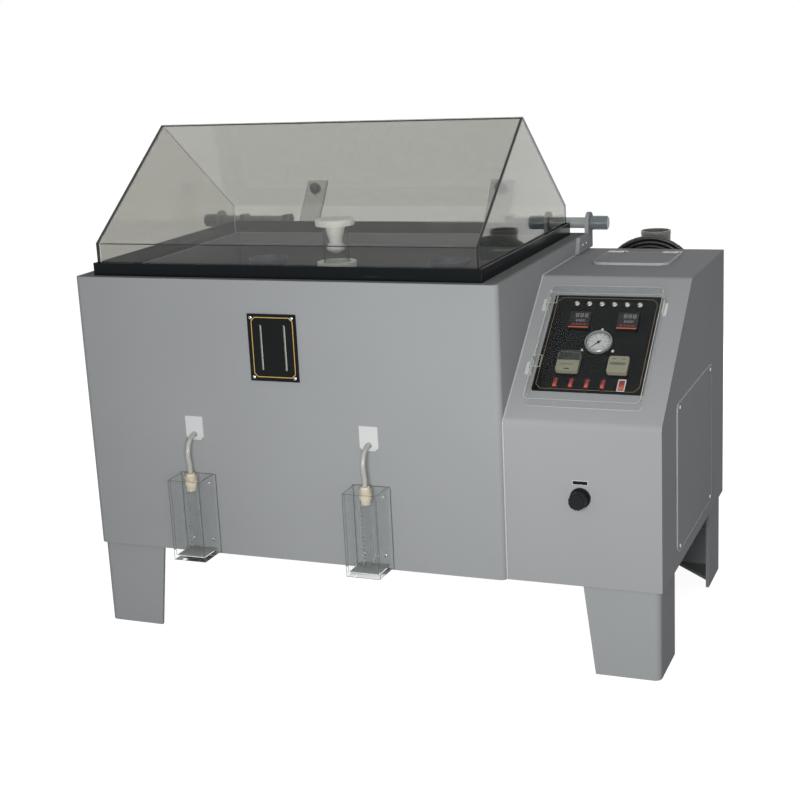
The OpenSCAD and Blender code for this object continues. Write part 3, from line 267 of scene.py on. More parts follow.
# The lead bends up out of the gland in a quarter circle, and leans in a slow S to the coil.
gland_x, gland_y, gland_bend, bend_top = 1100, 778.3, 42, 602
lead = [place(gland_x, gland_y + gland_bend * math.sin(math.radians(a)),
              bend_top - gland_bend * math.cos(math.radians(a))) for a in range(0, 91, 9)]
for i in range(1, 15):
    t, ease = i / 14, (1 - math.cos(math.pi * i / 14)) / 2
    lead.append(place(gland_x - 7.9 * ease - 5.5 * math.sin(math.pi * t * t),
                      820.3 - 34.8 * ease, bend_top + 137.5 * t))
tail = route([winding[-1], winding[-1] + Vector((0, 0.001, -0.05)),
              plug_top + Vector((0, 0, 0.05)), plug_top])
cable_line = lead[:-1] + winding + tail[1:]
plug_seat = Matrix.Translation(plug_top) @ Matrix.Scale(0.001, 4)
plug_shape, pin_shape = bmesh.new(), bmesh.new()
block(plug_shape, (-17, -12, -50), (17, 12, -18), 5)
turned(plug_shape, [(0, -20), (9, -20), (8.8, -16), (7.6, -15), (8.4, -12), (7.2, -11), (7.8, -8),
                    (6.8, -7), (7.2, -4), (6.3, -3), (6.4, 1.8), (0, 1.8)], Matrix.Identity(4), 24)
for x in (-9, 9):
    block(pin_shape, (x - 1, -3, -68), (x + 1, 3, -49), 0.4)
block(pin_shape, (-1, -9, -70), (1, -3, -49), 0.4)
plug_body = keep(plug_shape, "plug_body", sheath, plug_seat)
plug_brass = finish("plug_brass", (0.62, 0.48, 0.24), 0.25, 0.5, 500, 0.8, 0.05, Metallic=1)
plug_pins = keep(pin_shape, "plug_pins", plug_brass, plug_seat)
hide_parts("power_plug")
power_cable = tube_along("power_cable", cable_line, 0.005, sheath)
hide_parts("power_lead", "power_coil")
tape = bmesh.new()
outline(tape, [(768, 609), (772, 605), (788, 605), (792, 609),
               (792, 645), (788, 649), (772, 649), (768, 645)], 1.4, 1208, 1228)
hook_tape = finish("hook_tape", (0.03, 0.03, 0.032), 0.8, 0.6, 200, 0.7, 0.5)
side_face = millimetres @ Matrix(((0, 0, 1, 0), (1, 0, 0, 0), (0, 1, 0, 0), (0, 0, 0, 1)))
keep(tape, "coil_tape", hook_tape, side_face)

# Collector hoses: two short milky silicone hoses, 12 mm across, that lead the fog from
# the tank's front wall down through the ribbed stoppers into the measuring cylinders.
collector_places = (296, 745)
milky = finish("milky_hose", (0.4, 0.4, 0.375), 0.3, 0.6, 300, 0.85, 0.1,
               Subsurface_Weight=0.3, Subsurface_Radius=(0.006, 0.006, 0.005), Coat_Weight=0.3)
for side, x in zip(("left", "right"), collector_places):
    hose_line = route([place(x, 0.5, 505), place(x, -10, 505), place(x - 1, -30, 493),
                       place(x - 1, -40.5, 467), place(x, -37.5, 437), place(x, -37.5, 418.5)])
    hose = tube_along("collector_hose_" + side, hose_line, 0.006, milky)
    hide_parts("collector_hoses")

# Studio: white paper floor and surround, a large soft lamp in front on the right, a lamp
# behind, weak ones at the sides and an even light from all round, so that the front is
# bright and the top and the sides are darker.
def white_seen(tree):
    """1 for the rays that see the surround itself: straight, mirrored or through a sheet."""
    path = node_in(tree, "ShaderNodeLightPath").outputs
    seen = node_in(tree, "ShaderNodeMath", {0: path["Is Camera Ray"], 1: path["Is Glossy Ray"]},
                   operation="MAXIMUM").outputs[0]
    return node_in(tree, "ShaderNodeMath", {0: seen, 1: path["Is Transmission Ray"]},
                   operation="MAXIMUM").outputs[0]


floor_material = bpy.data.materials.new("studio_paper")
floor_material.use_nodes = True
paper = floor_material.node_tree
paper_shader = paper.nodes["Principled BSDF"]
paper_shader.inputs["Base Color"].default_value = (0.22, 0.22, 0.22, 1)
paper_shader.inputs["Roughness"].default_value = 1
paper_shader.inputs["Specular IOR Level"].default_value = 0
paper_shader.inputs["Emission Color"].default_value = (1, 1, 1, 1)
glow = node_in(paper, "ShaderNodeMath", {0: white_seen(paper), 1: 0.94}, operation="MULTIPLY")
paper.links.new(glow.outputs[0], paper_shader.inputs["Emission Strength"])
ground = bmesh.new()
bmesh.ops.create_grid(ground, x_segments=2, y_segments=2, size=30)
ground_mesh = bpy.data.meshes.new("studio_floor")
ground.to_mesh(ground_mesh)
ground.free()
ground_mesh.materials.append(floor_material)
studio_floor = bpy.data.objects.new("studio_floor", ground_mesh)
bpy.context.collection.objects.link(studio_floor)

world = bpy.data.worlds.new("studio")
world.use_nodes = True
sky = world.node_tree
sky.nodes["Background"].inputs["Color"].default_value = (1, 1, 1, 1)
strength = node_in(sky, "ShaderNodeMapRange", {"Value": white_seen(sky), "To Min": 0.42, "To Max": 1})
sky.links.new(strength.outputs[0], sky.nodes["Background"].inputs["Strength"])
bpy.context.scene.world = world


def soft_lamp(name, at, aim, size, watts, mirrored=False):
    """A square lamp aimed at a point, unseen itself unless glossy faces may mirror it."""
    lamp = bpy.data.objects.new(name, bpy.data.lights.new(name, "AREA"))
    lamp.data.size = size
    lamp.data.energy = watts
    lamp.location = at
    lamp.visible_camera = lamp.visible_transmission = False
    lamp.visible_glossy = mirrored
    lamp.rotation_euler = (Vector(aim) - Vector(at)).to_track_quat("-Z", "Y").to_euler()
    bpy.context.collection.objects.link(lamp)


soft_lamp("front_lamp", (0.75, -2.5, 0.95), (0.1, -0.3, 0.6), 0.8, 44, mirrored=True)
soft_lamp("right_lamp", (3.1, 0.2, 1.1), (0.6, 0, 0.6), 1.0, 5)
soft_lamp("left_lamp", (-3.2, 0.2, 1.1), (-0.6, 0, 0.6), 1.0, 14)
soft_lamp("rear_lamp", (-0.3, 3.1, 1), (0, 0.3, 0.6), 1.0, 58)


# Tank: 8 mm grey plastic sheet, bent hot round its four upright corners and welded to
# its floor, its deck and its bent legs. The weld against the console is a bead whose
# pale colour is partly a painted highlight along the joint.
def dress(material, *nodes):
    """Gives solids their material in every slot."""
    for name in nodes:
        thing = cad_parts[name]
        if not thing.material_slots:
            thing.data.materials.append(material)
        for held in thing.material_slots:
            held.material = material


def smooth_faces():
    """Joins the loose faces of a solid and shades its shallow edges smooth."""
    tree = bpy.data.node_groups.new("smooth_faces", "GeometryNodeTree")
    tree.interface.new_socket(name="Geometry", in_out="INPUT", socket_type="NodeSocketGeometry")
    tree.interface.new_socket(name="Geometry", in_out="OUTPUT", socket_type="NodeSocketGeometry")
    given = tree.nodes.new("NodeGroupInput").outputs[0]
    joined = node_in(tree, "GeometryNodeMergeByDistance", {"Geometry": given, "Distance": 0.00001}).outputs[0]
    smooth = node_in(tree, "GeometryNodeSetShadeSmooth", {"Geometry": joined}, domain="FACE").outputs[0]
    angle = node_in(tree, "GeometryNodeInputMeshEdgeAngle").outputs["Unsigned Angle"]
    shallow = node_in(tree, "FunctionNodeCompare", {0: angle, 1: math.radians(28)},
                      operation="LESS_THAN").outputs[0]
    smooth = node_in(tree, "GeometryNodeSetShadeSmooth", {"Geometry": smooth, "Shade Smooth": shallow},
                     domain="EDGE").outputs[0]
    tree.links.new(smooth, tree.nodes.new("NodeGroupOutput").inputs[0])
    return tree


smoothing = smooth_faces()


def soften(*nodes, edge=0.0):
    """Smooth shading for solids, and with an edge width also a small rounding of sharp edges."""
    for name in nodes:
        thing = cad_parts[name]
        thing.modifiers.new("weld", "WELD").merge_threshold = 0.00001
        flat = thing.modifiers.new("flat", "DECIMATE")
        flat.decimate_type = "DISSOLVE"
        flat.angle_limit = math.radians(0.5)
        if edge:
            bevel = thing.modifiers.new("edge", "BEVEL")
            bevel.width = edge
            bevel.segments = 2
            bevel.limit_method = "ANGLE"
            bevel.angle_limit = math.radians(40)
        thing.modifiers.new("smooth", "NODES").node_group = smoothing
        thing.modifiers.new("even", "WEIGHTED_NORMAL").keep_sharp = True


def bar(bm, a, b, radius, sides=10):
    """A round bar between two points."""
    along = Vector(b) - Vector(a)
    turn = along.to_track_quat("Z", "Y").to_matrix().to_4x4()
    middle = Matrix.Translation((Vector(a) + Vector(b)) / 2)
    bmesh.ops.create_cone(bm, cap_ends=True, segments=sides, radius1=radius, radius2=radius,
                          depth=along.length, matrix=middle @ turn)


tank_grey = finish("tank_sheet", (0.335, 0.347, 0.355), 0.42, 0.7, 900, 0.8, 0.04,
                   Specular_IOR_Level=0)
# A darker copy of the grey sheet for the tank's deck and floor and the console's back and floor: painted
# shade that makes tops and backs look darker.
shaded_deck_grey = finish("deck_sheet", (0.22, 0.23, 0.225), 0.45, 0.7, 900, 0.8, 0.04,
                   Specular_IOR_Level=0)
pale_edge_highlight = finish("cut_edge_and_highlight", (0.46, 0.47, 0.47), 0.5, 0.5, 600, 0.85, 0.2)
legs = ("leg_front_left", "leg_front_right", "leg_rear_left", "leg_rear_right")
dress(tank_grey, "tank_shell", "lid_ears", *legs)
dress(shaded_deck_grey, "tank_floor", "tank_deck")
soften("tank_shell")
soften("lid_ears", "tank_deck", *legs, edge=0.0009)
seam = bmesh.new()
seam_line = [(9, 211), (9, 566), (10.5, 575), (16, 581), (330, 829), (340, 838.5), (352, 840),
             (745, 840)]
for (y0, z0), (y1, z1) in zip(seam_line, seam_line[1:]):
    bar(seam, (1060.6, y0, z0), (1060.6, y1, z1), 2.2)
for y in (7.5, 757.5):
    bar(seam, (10, y, 208.5), (162, y, 208.5), 1.8)
keep(seam, "weld_beads", pale_edge_highlight, millimetres)

# Water seal and chamber: a glossy black trough that the lid's skirts stand in, round the
# top of a paler chamber with ledges for the specimen bars.
rim_black = finish("trough_sheet", (0.006, 0.008, 0.01), 0.22, 0.6, 500, 0.6, 0.04,
                   Specular_IOR_Level=0.08)
liner_pale = finish("liner_sheet", (0.17, 0.185, 0.185), 0.4, 0.6, 700, 0.8, 0.05,
                    Specular_IOR_Level=0.35)
dress(rim_black, "water_seal_trough")
dress(liner_pale, "chamber_liner")
soften("water_seal_trough", "chamber_liner", edge=0.0009)
# A pale strip on the chamber's top edge, a painted highlight along the lip.
lip = bmesh.new()
outline(lip, [(81.2, 65.2), (978.8, 65.2), (978.8, 695.8), (81.2, 695.8)], 1.4, 879.9, 880.4)
keep(lip, "chamber_lip", pale_edge_highlight, millimetres)


# Lid: a tent of 6 mm clear sheet with a grey cast, glued at its ridge and at its ends. It
# hinges at the back on two grey tubes with pipe caps on their ends.
def clear(name, tint, rough=0.02, thin=0.9, ior=1.49, wear=0.25, plain=False):
    """Clear plastic that lets the lamps through, with faint wipe marks in its roughness. A
    plain one also lets the light from all round through to what it covers."""
    material = bpy.data.materials.new(name)
    material.use_nodes = True
    tree = material.node_tree
    shader = tree.nodes["Principled BSDF"]
    face = node_in(tree, "ShaderNodeGroup", node_tree=skin)
    face.inputs["Colour"].default_value = (*tint, 1)
    face.inputs["Shade"].default_value = (*[0.93 * c for c in tint], 1)
    face.inputs["Mottle"].default_value = wear
    face.inputs["Grain"].default_value = 60
    face.inputs["Gloss"].default_value = rough
    tree.links.new(face.outputs["Colour"], shader.inputs["Base Color"])
    tree.links.new(face.outputs["Roughness"], shader.inputs["Roughness"])
    shader.inputs["Transmission Weight"].default_value = 1
    shader.inputs["IOR"].default_value = ior
    passing = node_in(tree, "ShaderNodeBsdfTransparent", {"Color": (thin, thin, thin, 1)})
    path = node_in(tree, "ShaderNodeLightPath").outputs
    through = path["Is Shadow Ray"]
    if plain:
        through = node_in(tree, "ShaderNodeMath", {0: through, 1: path["Is Diffuse Ray"]},
                          operation="MAXIMUM").outputs[0]
    mix = node_in(tree, "ShaderNodeMixShader",
                  {0: through, 1: shader.outputs[0], 2: passing.outputs[0]})
    tree.links.new(mix.outputs[0], tree.nodes["Material Output"].inputs["Surface"])
    return material


lid_clear = clear("lid_sheet", (0.62, 0.62, 0.59))
# The end plates are the lid's sheet with a darker tint, painted shade that makes the ends darker.
shaded_end_clear = clear("lid_end_sheet_painted_shade", (0.5, 0.5, 0.46))
hinge_grey = finish("hinge_pipe", (0.34, 0.36, 0.355), 0.3, 0.5, 500, 0.85, 0.05)
cap_blue = finish("pipe_cap", (0.14, 0.17, 0.19), 0.25, 0.6, 400, 0.8, 0.05)
glue_and_edge_highlight = finish("glue_line_and_edge_highlight", (0.5, 0.51, 0.48), 0.25, 0.5, 300, 0.85, 0.1)
dress(lid_clear, "lid_canopy")
dress(shaded_end_clear, "lid_end_plates")
dress(hinge_grey, "lid_hinge_tubes")
dress(cap_blue, "lid_end_caps")
soften("lid_hinge_tubes", "lid_end_caps", edge=0.0006)
joints = bmesh.new()
inner_edge = [(40.2, 873), (40.2, 950.5), (380.5, 1194.4), (720.8, 950.5), (720.8, 873)]
for x in (56, 1004):
    for (y0, z0), (y1, z1) in zip(inner_edge, inner_edge[1:]):
        bar(joints, (x, y0, z0), (x, y1, z1), 1.1, 6)
bar(joints, (50, 380.5, 1201.7), (1010, 380.5, 1201.7), 1.2, 8)
keep(joints, "lid_glue_lines", glue_and_edge_highlight, millimetres, "lid")

# Lid rests: two bent arms of clear grey strip, bolted to the tank's back, each with a
# rubber bumper on which the opened lid lies.
arm_clear = clear("arm_strip", (0.6, 0.61, 0.59), 0.12)
rubber = finish("bumper_rubber", (0.02, 0.021, 0.022), 0.6, 0.6, 250, 0.7, 0.3)
steel = finish("bright_steel", (0.6, 0.6, 0.6), 0.22, 0.5, 900, 0.8, 0.05, Metallic=1)
recess_painted_shade = finish("recess_shadow", (0.03, 0.03, 0.03), 0.6, 0.5, 900, 0.8, 0.05)
dress(arm_clear, "rest_arms")
dress(rubber, "rest_bumpers")
soften("rest_arms", "rest_bumpers", edge=0.0006)


def facing(x, y, z, side):
    """The seat of a screw at a point of the tank, facing front, back, left or right."""
    turns = {"front": (90, "X"), "back": (-90, "X"), "right": (90, "Y"), "left": (-90, "Y")}
    angle, axis = turns[side]
    return Matrix.Translation((x, y, z)) @ Matrix.Rotation(math.radians(angle), 4, axis)


def cross_recess(bm, seat, top=2.0):
    """The cross in a screw's head, as a dark block painted with the recess's shade."""
    block(bm, (-2.2, -0.4, top - 0.2), (2.2, 0.4, top + 0.1), 0, seat)
    block(bm, (-0.4, -2.2, top - 0.2), (0.4, 2.2, top + 0.1), 0, seat)


def pan_heads(name, seats):
    """Pan-head screws at their seats, with the crosses in their heads."""
    heads, crosses = bmesh.new(), bmesh.new()
    for seat in seats:
        turned(heads, [(0, 0), (4.2, 0), (4.1, 0.9), (3.2, 1.7), (1.6, 2.05), (0, 2.1)], seat, 20)
        cross_recess(crosses, seat, 2.05)
    keep(heads, name, steel, millimetres)
    keep(crosses, name + "_crosses", recess_painted_shade, millimetres)


pan_heads("arm_bolts", [facing(x + dx, 773, z, "back")
                        for x in (258, 802) for dx in (-16, 16) for z in (805, 845)])
pan_heads("ear_screws", [facing(x, y, 860, side)
                         for x, side in ((1070, "right"), (-10, "left")) for y in (668, 700)])

# Spray tower, funnels and drain: a white turned collar and cap on a clear tube round the
# glass nozzle, two grey funnels that collect the fog, and the drain's stub at the back.
turned_white = finish("turned_plastic", (0.88, 0.88, 0.85), 0.3, 0.5, 350, 0.9, 0.06)
tube_clear = clear("tower_tube", (0.93, 0.95, 0.95), 0.02, 0.95)
nozzle_glass = clear("nozzle_glass", (0.9, 0.94, 0.94), 0.02, 0.95)
funnel_grey = finish("funnel_plastic", (0.08, 0.10, 0.13), 0.3, 0.5, 400, 0.8, 0.06)
dress(turned_white, "spray_tower_base", "spray_cap")
dress(tube_clear, "spray_tower_tube")
dress(nozzle_glass, "spray_nozzle")
dress(funnel_grey, "fog_funnels")
soften("spray_tower_base", "spray_cap", "spray_tower_tube", "spray_nozzle", "fog_funnels",
       edge=0.0005)
dress(hinge_grey, "drain_stub")
soften("drain_stub")

# Level gauge: a black glossy plate with a gilt border line, screwed to the front over two
# glass tubes that show the water's level through slots; their silvery colour is a painted highlight.
plate_black = finish("gauge_plate", (0.008, 0.009, 0.01), 0.16, 0.6, 300, 0.5, 0.05,
                     Specular_IOR_Level=0.1)
gilt = finish("gilt_line", (0.56, 0.38, 0.09), 0.4, 0.5, 500, 0.75, 0.05, Metallic=0.3)
level_tube_highlight = finish("level_tube", (0.5, 0.49, 0.46), 0.15, 0.6, 200, 0.7, 0.1, Metallic=0.4)
dress(plate_black, "level_plate")
dress(level_tube_highlight, "level_tubes")
soften("level_plate", "level_tubes", edge=0.0005)


def chamfered(x0, y0, x1, y1, cut):
    """The corners of a rectangle with cut corners."""
    return [(x0 + cut, y0), (x1 - cut, y0), (x1, y0 + cut), (x1, y1 - cut),
            (x1 - cut, y1), (x0 + cut, y1), (x0, y1 - cut), (x0, y0 + cut)]


front_face = millimetres @ Matrix.Rotation(math.radians(90), 4, "X")
border = bmesh.new()
outline(border, chamfered(468.5, 653, 574.5, 794, 9), 1.9, 4.95, 5.15)
keep(border, "level_border", gilt, front_face)

# Fog collectors: white tags round the hoses, cream ribbed rubber stoppers, and glass
# measuring cylinders with etched marks that stand in open clear boxes on the front.
tag_white = finish("tag_plastic", (0.59, 0.595, 0.6), 0.35, 0.4, 400, 0.9, 0.05)
cream_rubber = finish("cream_rubber", (0.66, 0.6, 0.46), 0.55, 0.6, 300, 0.8, 0.2)
cylinder_glass = clear("cylinder_glass", (0.97, 0.98, 0.97), 0.02, 0.97, 1.12, plain=True)
box_clear = clear("box_sheet", (0.96, 0.975, 0.97), 0.02, 0.97, 1.06, 0.1, plain=True)
# Dark threads along the clear boxes' edges are painted shade, for the dark lines that the edges of clear
# sheet show.
box_edge_shade = finish("box_edge", (0.06, 0.065, 0.065), 0.3, 0.5, 300, 0.8, 0.05)
pad_grey = finish("pad_foam", (0.3, 0.315, 0.31), 0.7, 0.6, 250, 0.8, 0.4)
etched = finish("etched_mark", (0.08, 0.1, 0.13), 0.5, 0.5, 300, 0.8, 0.05)
dress(tag_white, "tag_plates")
dress(cream_rubber, "collector_stoppers")
dress(cylinder_glass, "collector_cylinders")
dress(box_clear, "holder_left", "holder_right")
dress(steel, "case_screws")
soften("tag_plates", "collector_stoppers", "collector_cylinders", edge=0.0004)
soften("case_screws", "holder_left", "holder_right")
glass_y, box_front, box_back = -37.5, -74.3, -3.3
box_foot, wall_foot, wall_top, box_top = 211.7, 212, 408, 408.4
box_half, plate_half, thread = 41.3, 46.3, 0.45
pads, marks, ribs, edges = bmesh.new(), bmesh.new(), bmesh.new(), bmesh.new()
for x in collector_places:
    block(pads, (x - 36, -69, 221.1), (x + 36, -5, 222.6), 0.5)
    for i in range(13):
        length = 50 if i % 4 == 0 else 30
        start = -115 - length / 2
        strip = [(14.12, 250 + 10 * i), (14.12, 251.5 + 10 * i)]
        turn = Matrix.Rotation(math.radians(start), 4, "Z")
        turned(marks, strip, Matrix.Translation((x, glass_y, 0)) @ turn, 8, length)
    for dx in (-box_half, box_half):
        bar(edges, (x + dx, box_front, wall_foot), (x + dx, box_front, wall_top), thread, 6)
        bar(edges, (x + dx, box_front, box_top), (x + dx, -4, box_top), thread, 6)
        bar(edges, (x + dx * 0.9, -70.8, 221), (x + dx * 0.9, -70.8, wall_top), 0.4, 6)
    for dx in (-plate_half, plate_half):
        bar(edges, (x + dx, box_back, wall_foot), (x + dx, box_back, wall_top), thread, 6)
    for y, half in ((box_front, box_half), (box_back, plate_half)):
        for z in (box_foot, box_top):
            bar(edges, (x - half, y, z), (x + half, y, z), thread, 6)
    for z in (403, 407, 411):
        turned(ribs, [(14, z - 1), (15.4, z - 0.5), (15.4, z + 0.5), (14, z + 1)],
               Matrix.Translation((x, glass_y, 0)), 32)
keep(pads, "box_pads", pad_grey, millimetres)
keep(edges, "box_edges", box_edge_shade, millimetres)
keep(marks, "cylinder_marks", etched, millimetres)
keep(ribs, "stopper_ribs", cream_rubber, millimetres)

# Screw crosses: dark blocks painted with the shade of the cross recesses, on the bright
# steel screws that hold the level gauge, the collectors' boxes and the access panel.
crosses = bmesh.new()
for x in (468, 572):
    for z in (653, 792):
        cross_recess(crosses, facing(x, -5, z, "front"))
for x in collector_places:
    for dx in (-26, 26):
        for z in (243, 385):
            cross_recess(crosses, facing(x + dx, -4, z, "front"))
for y in (184, 548):
    for z in (258, 580):
        cross_recess(crosses, facing(1413, y, z, "right"))
keep(crosses, "screw_crosses", recess_painted_shade, millimetres)

# Console: the same grey sheet as the tank, bent over the front and the slope, with a
# screwed back, a side access panel and a hatch. Pale strips round the hatch and the access
# panel stand for their cut edges and are partly painted edge highlights.
console_grey = finish("console_sheet", (0.345, 0.355, 0.365), 0.3, 0.7, 900, 0.8, 0.04,
                      Specular_IOR_Level=0)
dress(console_grey, "console_shell", "access_panel", "hatch_cover")
# The back and floor take the darker copy of the sheet, painted shade.
dress(shaded_deck_grey, "console_back", "console_floor")
soften("console_shell", "access_panel", "hatch_cover", "console_back", edge=0.0009)
hinge_pale = finish("hinge_plastic", (0.58, 0.6, 0.58), 0.3, 0.5, 400, 0.85, 0.08)
dress(hinge_pale, "hinge_leaves", "cover_catch")
soften("hinge_leaves", "cover_catch", edge=0.0004)


def arc(x, y, r, start, end, steps=6):
    """Points of an arc, in degrees."""
    turns = [math.radians(start + (end - start) * i / steps) for i in range(steps + 1)]
    return [(x + r * math.cos(t), y + r * math.sin(t)) for t in turns]


def round_corners(x0, y0, x1, y1, r):
    """The corners of a rectangle with rounded corners."""
    return (arc(x0 + r, y0 + r, r, 180, 270) + arc(x1 - r, y0 + r, r, 270, 360)
            + arc(x1 - r, y1 - r, r, 0, 90) + arc(x0 + r, y1 - r, r, 90, 180))


hatch_rim = bmesh.new()
hatch_line = (arc(1164, 518, 26.2, 180, 270) + arc(1296, 518, 26.2, 270, 360)
              + [(1322.2, 654.2), (1137.8, 654.2)])
outline(hatch_rim, hatch_line, 1.3, 840.35, 846.5)
keep(hatch_rim, "hatch_rim", pale_edge_highlight, millimetres, "hatch")
plates = bmesh.new()
for x in (1142, 1278):
    block(plates, (x, 634.5, 848.2), (x + 40, 653.2, 848.9), 0.3)
keep(plates, "hatch_leaves", hinge_pale, millimetres, "hatch")
access_rim = bmesh.new()
outline(access_rim, round_corners(159.8, 245.8, 572.2, 592.2, 20.2), 1.4, 1410.1, 1413.2)
keep(access_rim, "access_rim", pale_edge_highlight, side_face)
pan_heads("back_screws", [facing(x, 748, z, "back") for x in (1079, 1391) for z in (240, 430, 620, 812)])

# Instrument panel: a black glossy plate with a gilt line, set in the slope. It carries six
# chrome lamps, two controllers with unlit figures, a timer under a clear dust cover, a
# counter with a grey-green display, the pressure gauge and five red rockers.
slope = (Matrix.Translation(place(1060, 10, 577)) @ Matrix.Rotation(math.atan2(263, 333), 4, "X")
         @ Matrix.Scale(0.001, 4))
dress(plate_black, "instrument_panel")
lamp_chrome = finish("lamp_chrome", (0.62, 0.62, 0.62), 0.18, 0.5, 300, 0.8, 0.05, Metallic=1)
gauge_silver = finish("gauge_silver", (0.3, 0.31, 0.325), 0.28, 0.5, 300, 0.8, 0.05, Metallic=0.3)
case_black = finish("controller_case", (0.014, 0.014, 0.015), 0.35, 0.6, 500, 0.6, 0.1,
                    Specular_IOR_Level=0.15)
timer_beige = finish("timer_case", (0.28, 0.275, 0.205), 0.35, 0.5, 400, 0.85, 0.08,
                     Specular_IOR_Level=0.15)
dress(lamp_chrome, "pilot_lamps")
dress(gauge_silver, "pressure_gauge")
dress(case_black, "controllers", "gauge_pointer", "switch_bodies")
dress(timer_beige, "panel_timers")
lens_clear = clear("lens_glass", (0.96, 0.97, 0.97), 0.01, 0.97, 1.15, plain=True)
dress(lens_clear, "gauge_lens")
soften("instrument_panel", "pilot_lamps", "controllers", "panel_timers", "switch_bodies",
       "pressure_gauge", "gauge_pointer", "gauge_lens", edge=0.0003)
gilt_thread = finish("gilt_thread", (0.24, 0.18, 0.08), 0.4, 0.5, 500, 0.75, 0.05)
panel_border = bmesh.new()
outline(panel_border, chamfered(54, 89.7, 286, 353, 12), 1, 3.95, 4.15)
keep(panel_border, "panel_border", gilt_thread, slope)
gauge_at = (174, 221)
lamp_lens = finish("lamp_lens", (0.5, 0.48, 0.45), 0.12, 0.5, 300, 0.8, 0.05, Coat_Weight=1)
lenses = bmesh.new()
for i in range(6):
    turned(lenses, [(0, 8.4), (3.5, 8.5), (3.3, 9.3), (2.2, 10), (0, 10.3)],
           Matrix.Translation((gauge_at[0] + 29 * (i - 2.5), 335, 0)), 20)
keep(lenses, "lamp_lenses", lamp_lens, slope)

# Controllers: a smoked window with two rows of three figures, each of seven bars, over a
# red shade, with four grey keys in it and a red line under it.
smoke = finish("smoked_window", (0.034, 0.034, 0.036), 0.1, 0.6, 300, 0.6, 0.02,
               Specular_IOR_Level=0.15)
figure_grey = finish("figure_bars", (0.24, 0.24, 0.235), 0.3, 0.5, 300, 0.8, 0.02)
red_line = finish("red_line", (0.55, 0.13, 0.05), 0.35, 0.5, 300, 0.8, 0.02)
red_shade = finish("red_shade", (0.075, 0.02, 0.018), 0.2, 0.6, 300, 0.6, 0.02,
                   Specular_IOR_Level=0.15)
key_grey = finish("key_rubber", (0.06, 0.062, 0.065), 0.5, 0.5, 300, 0.8, 0.1)
windows, figures, lines, keys, shades = [bmesh.new() for _ in range(5)]
bars_low, bars_high = 10.35, 10.5


def figure_row(x, low, wide, high, thick):
    """Three figures of seven bars each."""
    for k in range(3):
        left, right, mid = x + 1.45 * wide * k, x + 1.45 * wide * k + wide, low + high / 2
        for y in (low, mid - thick / 2, low + high - thick):
            block(figures, (left + 0.6 * thick, y, bars_low), (right - 0.6 * thick, y + thick, bars_high))
        for y0, y1 in ((low + 0.5 * thick, mid - 0.2), (mid + 0.2, low + high - 0.5 * thick)):
            block(figures, (left, y0, bars_low), (left + thick, y1, bars_high))
            block(figures, (right - thick, y0, bars_low), (right, y1, bars_high))


for u, v in ((95, 260), (205, 260)):
    block(windows, (u + 2, v + 4, 8.4), (u + 46, v + 46, 10.4), 0.3)
    block(shades, (u + 2.3, v + 4.2, 10.3), (u + 45.7, v + 16, 10.45), 0.05)
    block(lines, (u + 1.5, v + 0.8, 9.8), (u + 46.5, v + 3.6, 10.7), 0.2)
    figure_row(u + 13, v + 31, 7.2, 11, 1.5)
    figure_row(u + 16, v + 18, 5, 6.5, 0.8)
    for k in range(4):
        key = u + 8 + 8.8 * k
        block(keys, (key, v + 8, 10.3), (key + 5.5, v + 12, 10.9), 0.3)
keep(windows, "controller_windows", smoke, slope)
keep(figures, "controller_figures", figure_grey, slope)
keep(lines, "controller_lines", red_line, slope)
keep(shades, "controller_shades", red_shade, slope)
keep(keys, "controller_keys", key_grey, slope)


# Timer and counter: moulded beige cases. The timer has a dark head strip, a row of dark
# number windows and a clear dust cover; the counter has a grey-green display.
def figure_text(bm, text, size, x, y, z):
    """Plain figures as flat faces."""
    letters = bpy.data.curves.new("figures", "FONT")
    letters.body = text
    letters.size = size
    letters.align_x = letters.align_y = "CENTER"
    written = bpy.data.objects.new("figures", letters)
    flat = bpy.data.meshes.new_from_object(written)
    flat.transform(Matrix.Translation((x, y, z)))
    bm.from_mesh(flat)
    bpy.data.meshes.remove(flat)
    bpy.data.objects.remove(written)
    bpy.data.curves.remove(letters)


head_dark = finish("timer_head", (0.035, 0.036, 0.038), 0.3, 0.6, 300, 0.7, 0.05,
                   Specular_IOR_Level=0.2)
display = finish("counter_display", (0.16, 0.165, 0.12), 0.2, 0.5, 300, 0.8, 0.02)
inlay, dark, green, text = [bmesh.new() for _ in range(4)]
block(inlay, (100.7, 157.6, 11.9), (135.3, 173, 13.95), 0.2)
block(inlay, (215.7, 163, 11.9), (244.3, 168.3, 13.95), 0.2)
block(dark, (93.5, 164, 13.9), (142.5, 185.5, 14.5), 0.3)
for k in range(6):
    block(dark, (103.5 + 5 * k, 151.5, 13.9), (107 + 5 * k, 153.4, 14.15), 0.1)
block(dark, (112, 138, 13.9), (124, 141, 14.3), 0.3)
block(green, (211.5, 154.9, 13.9), (248.5, 163, 14.15), 0.1)
block(green, (215.7, 154.9, 11.9), (244.3, 163, 13.95), 0.2)
figure_text(text, "000000", 8.5, 230, 158.9, 14.2)
for k in range(2):
    block(dark, (215 + 22 * k, 171.5, 13.9), (223 + 22 * k, 173, 14.2), 0.1)
    block(inlay, (214 + 19 * k, 139, 13.9), (227 + 19 * k, 146.5, 15), 0.6)
keep(inlay, "timer_inlay", timer_beige, slope)
keep(dark, "timer_windows", head_dark, slope)
keep(green, "counter_display", display, slope)
keep(text, "counter_figures", head_dark, slope)
dust_clear = clear("dust_cover", (0.96, 0.97, 0.96), 0.02, 0.97, 1.15, plain=True)
dust = bmesh.new()
block(dust, (90.2, 131.2, 12.2), (145.8, 188.8, 19.5), 2.5)
hidden = [face for face in dust.faces if face.calc_center_median().z < 14.8]
bmesh.ops.delete(dust, geom=hidden, context="FACES")
bmesh.ops.recalc_face_normals(dust, faces=dust.faces)
bmesh.ops.solidify(dust, geom=dust.faces[:], thickness=1.4)
keep(dust, "timer_dust_cover", dust_clear, slope)

